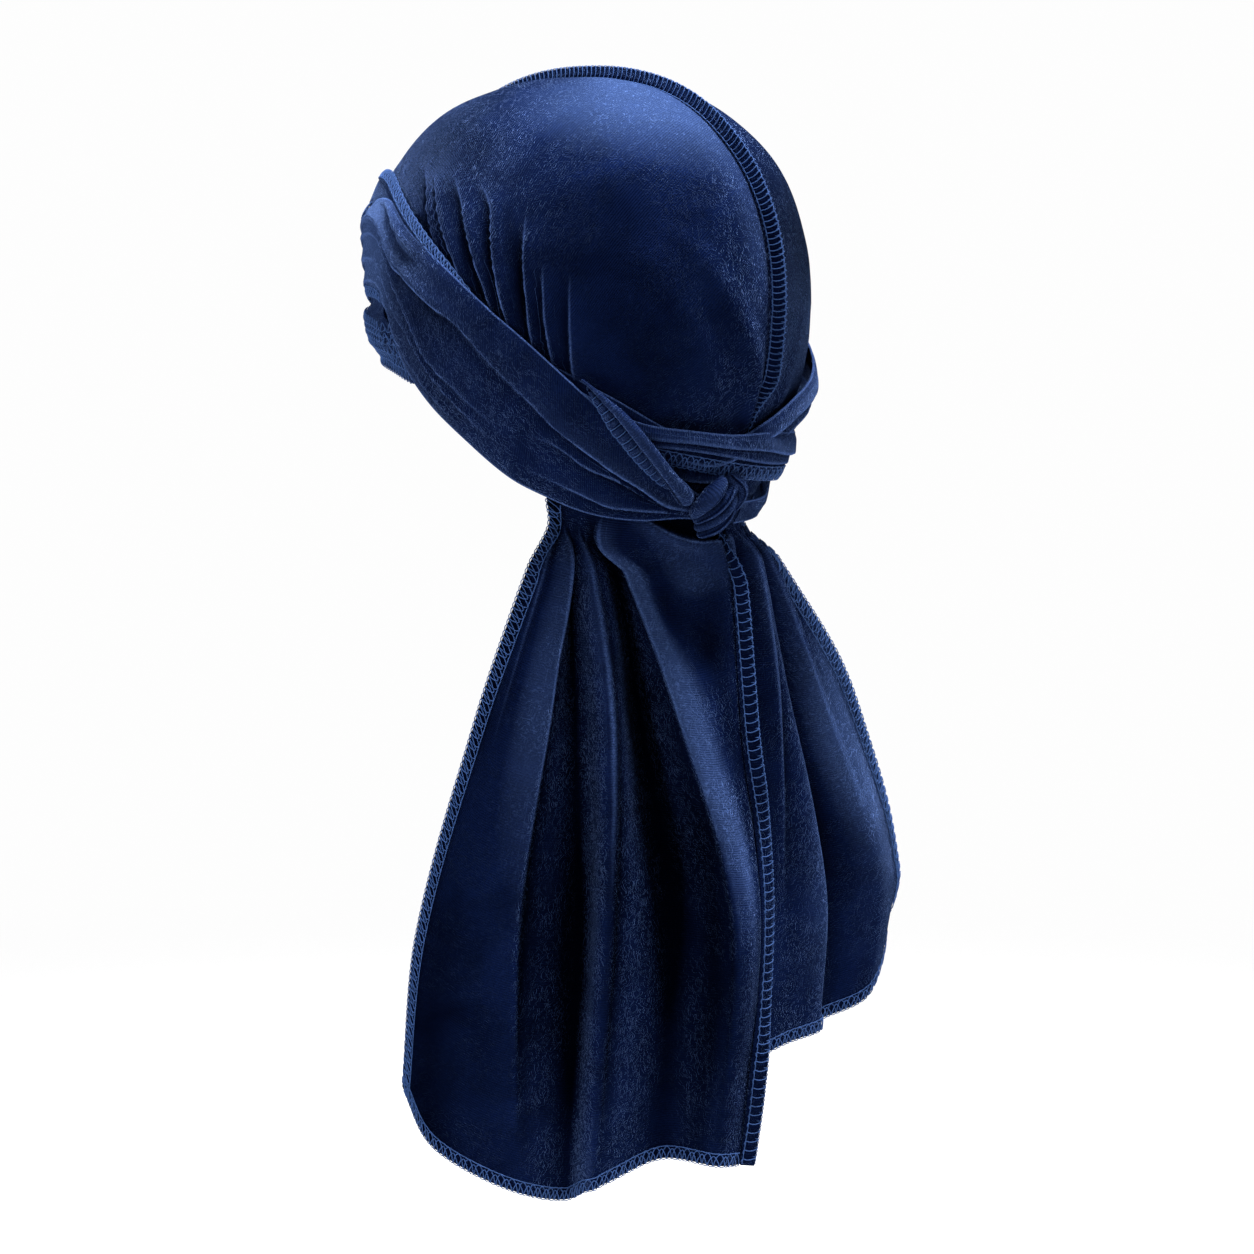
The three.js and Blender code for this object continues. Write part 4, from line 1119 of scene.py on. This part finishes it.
def strand_frame(track, t):
    """Centre line, way along, sideways and outward of a strand."""
    fine = np.linspace(0, 1, 401)
    angle, height, lift = (track.read(key, fine) for key in ("angle", "height", "lift"))
    level = height - lift * form_normal(form_point(angle, height))[:, 2]
    line = form_point(angle, level, lift)
    tangent = unit(np.gradient(line, axis=0))
    side = unit(np.cross(tangent, form_normal(line)))
    up = unit(np.cross(side, tangent))
    return tuple(points_at(t, fine, values) for values in (line, tangent, side, up))


def strand_point(track, t, turn, grow):
    """Points on a strand's surface, grow millimetres out from it, at turns round it in degrees."""
    centre, _, side, up = strand_frame(track, t)
    turn = np.radians(turn)[:, None]
    half = (track.read("breadth", t) / 2 + grow)[:, None]
    deep = (track.read("depth", t) / 2 + grow)[:, None]
    return centre + side * np.cos(turn) * half + up * np.sin(turn) * deep


def strand_mesh(name, track, creases, rungs):
    """Rolled strand of strap with rounded ends, creases along it and rungs pulling it in, with painted
    highlight and shade.
    """
    stations, sides = STRAND_MESH
    t = np.linspace(0, 1, stations)
    centre, _, side, up = strand_frame(track, t)
    breadth, depth = track.read("breadth", t), track.read("depth", t)
    length = lengths(centre)
    turn = np.linspace(0, 2 * np.pi, sides + 1)
    pile = PaintedLight((stations, sides + 1))
    from_end = np.minimum(length, length[-1] - length)
    close = np.clip(1 - from_end / (breadth * 0.55), 0, 0.995)
    swell = np.ones((stations, sides + 1)) * np.sqrt(1 - close ** 2)[:, None]
    for at, deep, drift in creases:
        off = np.angle(np.exp(1j * (turn[None] - math.radians(at) - drift * (t[:, None] - 0.5))))
        hollow = np.exp(-(off / CREASE_BREADTH) ** 2)
        swell -= deep * hollow
        # painted highlight beside each crease and painted shade in it
        pile.light_and_shade += 0.6 * np.exp(-((off - 0.34) / 0.14) ** 2) - 1.1 * hollow
    # painted light on the strand's outer side and painted shade on its inner side
    pile.light_and_shade += 0.35 * np.sin(turn)[None]
    if rungs:
        beat = np.abs((length / rungs) % 1 - 0.5) * rungs
        pulled = np.exp(-(beat / RUNG_BREADTH) ** 2)[:, None]
        swell -= RUNG_DEPTH * pulled
        # painted shade in each groove a rung pulls in
        pile.light_and_shade -= 1.3 * pulled
    rim = (side[:, None] * (np.cos(turn)[None, :, None] * breadth[:, None, None])
           + up[:, None] * (np.sin(turn)[None, :, None] * depth[:, None, None])) / 2
    mesh = sheet_mesh(name, centre[:, None] + rim * swell[..., None], unit(rim), pile)
    shell = bmesh.new()
    shell.from_mesh(mesh)
    close_ends(shell, 2e-6)
    shell.to_mesh(mesh)
    shell.free()
    shade_smooth(mesh)
    return mesh


# ---------------------------------------------------------------- stitches


def shaped(pattern, across=1.0, out=1.0, inset=0.0, lift=0.0):
    """A stitch pattern stretched across the edge and outwards, then moved in and up."""
    return [(s, a * across + inset, o * out + lift) for s, a, o in pattern]


def stitch_run(line, inward, normals, pitch, pattern):
    """Thread laid in a repeated pattern beside an edge."""
    length = lengths(line)
    count = max(int(length[-1] / pitch), 2)
    at = np.linspace(0, length[-1], count + 1)
    share, across, out = np.array(pattern, float).T
    places = (at[:-1, None] + share * (at[1] - at[0])).ravel()
    across = np.tile(across, count)[:, None]
    out = np.tile(out, count)[:, None]
    points = points_at(places, length, line)
    points = points + unit(points_at(places, length, inward)) * across
    points = points + unit(points_at(places, length, normals)) * out
    return spline_thread(points, THREAD_STEPS * (len(points) - 1) + 1)


def overlock(name, line, inward, normals, stitching, bite, wall):
    """Three-thread overlock along an edge, on the outer face of cloth with this wall."""
    outer = line + normals * wall
    pitch = stitching.stitch_pitch / MM
    runs = [stitch_run(outer, inward, normals, pitch, shaped(pattern, bite))
            for pattern in (ARCHES, SCALES, EDGE_PURL)]
    runs.append(stitch_run(outer, inward, normals, pitch * NEEDLE_PITCH, shaped(NEEDLE, bite)))
    place_threads(name, runs, stitching.thread_radius / MM, stitching)


# ---------------------------------------------------------------- settings


def length_setting(name, description, default, low):
    return FloatProperty(name=name, description=description, default=default, min=low, unit="LENGTH")


def count_setting(name, description, default):
    return IntProperty(name=name, description=description, default=default, min=20)


def colour_setting(name, description, default):
    return FloatVectorProperty(name=name, description=description, default=default, subtype="COLOR",
                               size=3)


def angle_setting(name, description, degrees):
    return FloatProperty(name=name, description=description, default=math.radians(degrees),
                         subtype="ANGLE")


class DuragCloth(bpy.types.PropertyGroup):
    """Sizes and colours of the velvet."""

    panel_wall: length_setting("Panel cloth", "Thickness of the crown and tail panels", 0.0010, 0.0003)
    strap_wall: length_setting("Strap cloth", "Thickness of a strap", 0.0007, 0.0003)
    seam_wall: length_setting("Seam thickness", "Both seam allowances together", 0.0018, 0.0005)
    columns: count_setting("Panel columns", "Mesh columns across a panel", 122)
    crown_rows: count_setting("Crown rows", "Mesh rows over the crown", 200)
    tail_rows: count_setting("Tail rows", "Mesh rows down the tail", 200)
    velvet_colour: colour_setting("Velvet", "Colour of the pile", (0.0034, 0.0088, 0.042))
    # colour of the painted highlights on lit crests and crease lines, also used to tint the lint
    highlight_colour: colour_setting("Brushed pile", "Colour along worn crests", (0.050, 0.092, 0.245))
    sheen_colour: colour_setting("Sheen", "Tint of the pile at grazing angles", (0.27, 0.45, 1.0))


class DuragStitching(bpy.types.PropertyGroup):
    """Sizes and colour of the overlock thread."""

    stitch_pitch: length_setting("Stitch pitch", "Distance between stitches", 0.0046, 0.001)
    thread_radius: length_setting("Thread radius", "Half the thread's thickness", 0.0002, 0.0001)
    thread_colour: colour_setting("Thread", "Colour of the thread", (0.036, 0.082, 0.235))


class DuragStage(bpy.types.PropertyGroup):
    """Floor, lights and camera."""

    floor_colour: colour_setting("Floor", "Colour of the floor", (0.92, 0.92, 0.92))
    floor_height: length_setting("Floor height", "Height of the floor", -0.62, -5.0)
    key_power: FloatProperty(name="Key light", description="Power of the main soft light",
                             default=24.0, min=0.0, unit="POWER")
    fill: FloatProperty(name="Fill", description="Strength of the light from all round",
                        default=0.07, min=0.0)
    camera_distance: length_setting("Camera distance", "From the durag's middle", 1.5, 0.3)
    camera_azimuth: angle_setting("Camera azimuth", "Turn of the camera round the durag", 130)
    camera_elevation: angle_setting("Camera elevation", "Angle above the horizon", 8)
    camera_lens: FloatProperty(name="Camera lens", description="Focal length in millimetres",
                               default=105.5024, min=1.0)


# ---------------------------------------------------------------- stage


def link(name, data):
    thing = bpy.data.objects.new(name, data)
    bpy.context.scene.collection.objects.link(thing)
    return thing


def aim(thing, target, azimuth, elevation, distance):
    """Places a light or the camera round its target, in radians, looking back at it."""
    flat = math.cos(elevation)
    back = Vector((math.sin(azimuth) * flat, -math.cos(azimuth) * flat, math.sin(elevation)))
    thing.location = target + back * distance
    thing.rotation_euler = (-back).to_track_quat("-Z", "Y").to_euler()


def make_floor(stage):
    """Round floor that fades out before its rim."""
    mesh = bpy.data.meshes.new("floor")
    shell = bmesh.new()
    bmesh.ops.create_circle(shell, cap_ends=True, segments=96, radius=FLOOR_RADIUS)
    bmesh.ops.translate(shell, verts=shell.verts, vec=(0, 0, stage.floor_height))
    shell.to_mesh(mesh)
    shell.free()
    paper = bpy.data.materials.new("pale_paper")
    s = Shading(paper)
    far = s.add("VectorMath", Vector=s.add("TexCoord").outputs["Object"])
    far.operation = "LENGTH"
    fade = s.add("MapRange", Value=far.outputs["Value"], From_Min=FLOOR_FADE[0],
                 From_Max=FLOOR_FADE[1], To_Min=1.0, To_Max=0.0)
    fade.interpolation_type = "SMOOTHSTEP"
    s.fill(s.nodes["Principled BSDF"], Base_Color=rgba(stage.floor_colour), Roughness=0.9,
           Specular_IOR_Level=0.1, Alpha=fade.outputs["Result"])
    mesh.materials.append(paper)
    link("floor", mesh)


def make_lights(stage):
    """Large round lights, placed from where the camera stands."""
    base = math.degrees(stage.camera_azimuth)
    for name, (turn, elevation, distance, breadth, share) in LIGHTS.items():
        data = bpy.data.lights.new(name, "AREA")
        data.shape = "DISK"
        data.size = breadth
        data.energy = stage.key_power * share
        aim(link(name, data), LIGHT_CENTRE, math.radians(base + turn), math.radians(elevation), distance)


def make_world(stage):
    """Dim light from all round, with a white studio behind."""
    world = bpy.data.worlds.new("studio")
    s = Shading(world)
    around = s.nodes["Background"]
    s.fill(around, Color=(0.92, 0.95, 1.0, 1.0), Strength=stage.fill)
    seen = s.add("Background", Color=(0.985, 0.985, 0.985, 1.0))
    choose = s.add("MixShader")
    sources = (s.add("LightPath").outputs["Is Camera Ray"], around.outputs[0], seen.outputs[0])
    for socket, source in zip(choose.inputs, sources):
        s.feed(socket, source)
    s.feed(s.nodes["World Output"].inputs["Surface"], choose.outputs[0])
    bpy.context.scene.world = world


def make_camera(stage):
    data = bpy.data.cameras.new("camera")
    data.lens = stage.camera_lens
    data.sensor_width = SENSOR_WIDTH
    data.dof.use_dof = False
    camera = link("camera", data)
    turn = stage.camera_azimuth
    aside = Vector((math.cos(turn), math.sin(turn), 0)) * CAMERA_ASIDE
    target = aside + Vector((0, 0, CAMERA_AIM_HEIGHT))
    aim(camera, target, turn, stage.camera_elevation, stage.camera_distance)
    bpy.context.scene.camera = camera


# ---------------------------------------------------------------- operators

GRIDS = {}


def panel(side):
    if side not in GRIDS:
        cloth = bpy.context.scene.durag_cloth
        GRIDS[side] = panel_grid(side, cloth.crown_rows, cloth.tail_rows, cloth.columns)
    return GRIDS[side]


class DURAG_OT_stage(bpy.types.Operator):
    """Plain pale floor, soft lights and the camera"""

    bl_idname = "durag.stage"
    bl_label = "Stage"

    def execute(self, context):
        stage = context.scene.durag_stage
        context.scene.view_settings.view_transform = "Standard"
        make_floor(stage)
        make_lights(stage)
        make_world(stage)
        make_camera(stage)
        return {"FINISHED"}


class DURAG_OT_panels(bpy.types.Operator):
    """Left and right crown panels with their pleated tails"""

    bl_idname = "durag.panels"
    bl_label = "Crown and tail panels"

    def execute(self, context):
        cloth = context.scene.durag_cloth
        for side in HAND:
            name = "panel_" + side
            piece = place_cloth(name + "_cloth", panel(side), velvet(cloth), "velvet", name,
                                cloth.panel_wall)
        return {"FINISHED"}


def seam_frames(crown_rows):
    """The centre seam's foot, its way up and its way to the wearer's left, and how far it stands."""
    left, left_normals, _ = panel("left")
    line = left[:, 0]
    out = unit(left_normals[:, 0] + panel("right")[1][:, 0])
    along = unit(np.gradient(line, axis=0))
    aside = unit(np.cross(out, along))
    aside = aside * np.sign(aside[:, :1] + 1e-9)
    over = SEAM_OVER_CROWN.read("stand", lerp(BROW_TURN, NAPE_TURN, np.linspace(0, 1, crown_rows)))
    down = SEAM_DOWN_TAIL.read("stand", -line[crown_rows:, 2])
    stand = np.concatenate([over, down])
    lean = np.radians(SEAM_LEAN * (stand - SEAM_PRESSED) / (SEAM_FREE - SEAM_PRESSED))[:, None]
    rise = out * np.cos(lean) - aside * np.sin(lean)
    across = aside * np.cos(lean) + out * np.sin(lean)
    return line + out, rise, across, stand


class DURAG_OT_centre_seam(bpy.types.Operator):
    """Standing centre seam with its overlock stitches"""

    bl_idname = "durag.centre_seam"
    bl_label = "Centre seam"

    def execute(self, context):
        cloth, stitching = context.scene.durag_cloth, context.scene.durag_stitching
        first = int(cloth.crown_rows * SEAM_HIDDEN)
        foot, rise, across, stand = (v[first:] for v in seam_frames(cloth.crown_rows))
        # a flat body on a spread foot, with a rounded and slightly puckered edge
        turn = np.linspace(0, np.pi, 15)
        half = cloth.seam_wall / MM / 2
        body = stand[:, None] - half
        side_share = np.concatenate([[1.25, 1.0], np.cos(turn), [-1.0, -1.25]])
        up_share = np.concatenate([[0.0, 0.35], 1 + 0 * turn, [0.35, 0.0]])
        cap = np.concatenate([[0, 0], np.sin(turn), [0, 0]])
        pucker = SEAM_PUCKER * np.sin(np.arange(len(foot)) * 2.1)[:, None]
        reach = body * up_share[None] + cap[None] * half
        wide = side_share[None] * (half + pucker * (up_share[None] > 0.5))
        points = foot[:, None] + rise[:, None] * reach[..., None] + across[:, None] * wide[..., None]
        normals = across[:, None] * side_share[None, :, None] + rise[:, None] * cap[None, :, None]
        place_cloth("centre_seam_edge", (points, unit(normals)),
                    velvet(cloth, "navy_seam_velvet", 0.8, 0.35), "stitched_edge", "centre_seam",
                    SEAM_SKIN, -1.0)
        # ladder stitches down both faces, closer together over the crown than down the tail
        top = foot + rise * stand[:, None]
        inward = -rise * np.clip(stand / SEAM_FREE, 0.35, 1.15)[:, None]
        pitch = stitching.stitch_pitch / MM
        cut = cloth.crown_rows - first
        ladder = shaped(LADDER, 1.05, 0.8, lift=0.05)
        runs = []
        for face, way in ((top + across * half, across), (top - across * half, -across)):
            for part, share in zip((slice(0, cut), slice(cut - 1, None)), LADDER_PITCH):
                runs.append(stitch_run(face[part], inward[part], way[part], pitch * share, ladder))
        for pattern in (shaped(EDGE_PURL, 1, 0.6, 0.35, -0.1), shaped(NEEDLE, 1.05, 0.8)):
            runs.append(stitch_run(top + across * half, inward, across, pitch * SEAM_EDGE_PITCH, pattern))
        place_threads("centre_seam_overlock", runs, stitching.thread_radius / MM, stitching)
        return {"FINISHED"}


def hem_bulge(angle, height):
    """How far the doubled hem swells out under the wraps, most of all at the left temple."""
    inner = 1.9 * smooth(height, -112, -100)
    temple = smooth(angle, -84, -72) * (1 - smooth(angle, -34, -25))
    swell = 2.2 * smooth(height, -112, -104) * (1 - smooth(height, -94.5, -88.5))
    ends = (1 - smooth(angle, -32, -22)) * smooth(angle, -158, -148)
    return (inner + swell * temple) * ends


class DURAG_OT_front_hem(bpy.types.Operator):
    """Turned front hem with its zigzag stitches"""

    bl_idname = "durag.front_hem"
    bl_label = "Front hem"

    def execute(self, context):
        cloth, stitching = context.scene.durag_cloth, context.scene.durag_stitching
        reach = HEM_EDGE.last - HEM_EDGE.first
        turn = np.linspace(-reach, reach, HEM_MESH[0])[:, None]
        across = np.linspace(0, 1, HEM_MESH[1])[None]
        edge = HEM_EDGE.read("height", HEM_EDGE.first + np.abs(turn))
        full = smooth(reach - np.abs(turn), 0, 14)
        bead = 0.35 * np.exp(-((across - 0.05) / 0.04) ** 2) + 0 * turn
        angle = HEM_EDGE.first + turn + 0 * across
        tucked = smooth(angle, -80, -68) * (1 - smooth(angle, -36, -28))
        height = edge + 0.3 + across * (HEM_WIDTH + 6 * full + 8 * tucked)
        grid = form_point(angle, height, HEM_LIFT + bead + hem_bulge(angle, height))
        normals = form_normal(grid)
        place_cloth("front_hem_band", (grid, normals), velvet(cloth), "stitched_edge", "front_hem",
                    HEM_WALL)
        up = unit(grid[:, -1] - grid[:, 0])
        outer = grid[:, 0] + normals[:, 0] * 0.7
        runs = []
        for pattern, pitch, starts in HEM_ROWS:
            for start in starts:
                run = stitch_run(outer, up, normals[:, 0], pitch, shaped(pattern, inset=start))
                run += form_normal(run) * hem_bulge(angle_of(run), run[:, 2])[:, None]
                runs.append(run)
        place_threads("front_hem_stitches", runs, stitching.thread_radius / MM, stitching)
        return {"FINISHED"}


class DURAG_OT_straps(bpy.types.Operator):
    """Both tie straps along their whole path, with their serged edges"""

    bl_idname = "durag.straps"
    bl_label = "Straps"

    def execute(self, context):
        cloth, stitching = context.scene.durag_cloth, context.scene.durag_stitching
        for side in HAND:
            grid, normals, pile = strap_grid(side, *STRAP_MESH)
            name = "strap_" + side
            piece = place_cloth(name + "_cloth", (grid, normals, pile), velvet(cloth), "velvet", name,
                                cloth.strap_wall)
            travel = np.linspace(STRAPS[side].first, STRAPS[side].last, len(grid))
            for number, (edge, start, end, bite) in enumerate(SERGED[side], 1):
                part = (travel >= start) & (travel <= end)
                at, inner = (0, 4) if edge == "upper" else (-1, -5)
                line = grid[part, at]
                inward = unit(grid[part, inner] - line)
                overlock("%s_%s_overlock_%d" % (name, edge, number), line, inward, normals[part, at],
                         stitching, bite, cloth.strap_wall / MM + 0.2)
        return {"FINISHED"}


def roll_threads():
    """Rungs across the laddered roll, and dashes along its upper side."""
    track = STRANDS["strap_roll_laddered"][1]
    t = np.linspace(0, 1, 400)
    length = lengths(strand_frame(track, t)[0])
    grooves = np.arange(1.5, length[-1] / RUNG_PITCH - 0.8) * RUNG_PITCH
    turns = [np.linspace(*RUNG_TURNS[::1 if k % 2 == 0 else -1], RUNG_POINTS)
             for k in range(len(grooves))]
    along = np.interp(np.repeat(grooves, RUNG_POINTS), length, t)
    path = strand_point(track, along, np.concatenate(turns), -0.12)
    dash = np.arange(grooves[0], grooves[-1], RUNG_PITCH / 4)
    sunk = np.where(np.arange(len(dash)) % 4 == 0, -0.35, 0.14)
    dashes = strand_point(track, np.interp(dash, length, t), np.full(len(dash), 38.0), sunk)
    return [spline_thread(points, 3 * len(points)) for points in (path, dashes)]


class DURAG_OT_knot(bpy.types.Operator):
    """Rolled strap edge and the strands of the knot"""

    bl_idname = "durag.knot"
    bl_label = "Knot and rolled edge"

    def execute(self, context):
        cloth, stitching = context.scene.durag_cloth, context.scene.durag_stitching
        for name, (node, track) in STRANDS.items():
            rungs = RUNG_PITCH if name == "strap_roll_laddered" else 0.0
            mesh = strand_mesh(name, track, CREASES.get(name, ()), rungs)
            place_piece(name, mesh, velvet(cloth), "velvet", node)
        place_threads("strap_roll_stitches", roll_threads(), ROLL_THREAD, stitching, sides=6)
        # a frill of thread along the knot's inner strand
        beat = np.arange(FRILL_POINTS)
        frill = strand_point(STRANDS["knot_inner_strand"][1], np.linspace(0.06, 0.94, FRILL_POINTS),
                             195 + 12.0 * (beat % 3), 0.15 + 0.45 * (beat % 2))
        place_threads("knot_stitches", [spline_thread(frill, 240)], KNOT_THREAD, stitching, sides=6)
        return {"FINISHED"}


class DURAG_OT_tail_hems(bpy.types.Operator):
    """Overlocked side and bottom hems of the tail"""

    bl_idname = "durag.tail_hems"
    bl_label = "Tail hems"

    def execute(self, context):
        cloth, stitching = context.scene.durag_cloth, context.scene.durag_stitching
        wall = cloth.panel_wall / MM
        start = cloth.crown_rows + 6
        for side in HAND:
            grid, normals, _ = panel(side)
            line = grid[start:, -1]
            inward = unit(grid[start:, -4] - line)
            overlock("tail_side_overlock_" + side, line, inward, normals[start:, -1], stitching,
                     1.25, wall)
            line = grid[-1, 2:]
            inward = unit(grid[-5, 2:] - line)
            overlock("tail_hem_overlock_" + side, line, inward, normals[-1, 2:], stitching, 1.0, wall)
        return {"FINISHED"}


class DURAG_PT_sidebar(bpy.types.Panel):
    """The durag's settings and operators"""

    bl_label = "Velvet Durag"
    bl_idname = "DURAG_PT_sidebar"
    bl_space_type = "VIEW_3D"
    bl_region_type = "UI"
    bl_category = "Durag"

    def draw(self, context):
        layout = self.layout
        for group in ("durag_cloth", "durag_stitching", "durag_stage"):
            settings = getattr(context.scene, group)
            for name in settings.__annotations__:
                layout.prop(settings, name)
        for operator in OPERATORS:
            layout.operator(operator.bl_idname)


OPERATORS = (
    DURAG_OT_stage,
    DURAG_OT_panels,
    DURAG_OT_centre_seam,
    DURAG_OT_front_hem,
    DURAG_OT_straps,
    DURAG_OT_knot,
    DURAG_OT_tail_hems,
)
CLASSES = (DuragCloth, DuragStitching, DuragStage, *OPERATORS, DURAG_PT_sidebar)


def register():
    for cls in CLASSES:
        bpy.utils.register_class(cls)
    bpy.types.Scene.durag_cloth = PointerProperty(type=DuragCloth)
    bpy.types.Scene.durag_stitching = PointerProperty(type=DuragStitching)
    bpy.types.Scene.durag_stage = PointerProperty(type=DuragStage)


def unregister():
    del bpy.types.Scene.durag_stage
    del bpy.types.Scene.durag_stitching
    del bpy.types.Scene.durag_cloth
    for cls in reversed(CLASSES):
        bpy.utils.unregister_class(cls)


def main():
    register()
    bpy.ops.durag.stage()
    bpy.ops.durag.panels()
    bpy.ops.durag.centre_seam()
    bpy.ops.durag.front_hem()
    bpy.ops.durag.straps()
    bpy.ops.durag.knot()
    bpy.ops.durag.tail_hems()
    bpy.context.view_layer.update()


if __name__ == "__main__":
    main()
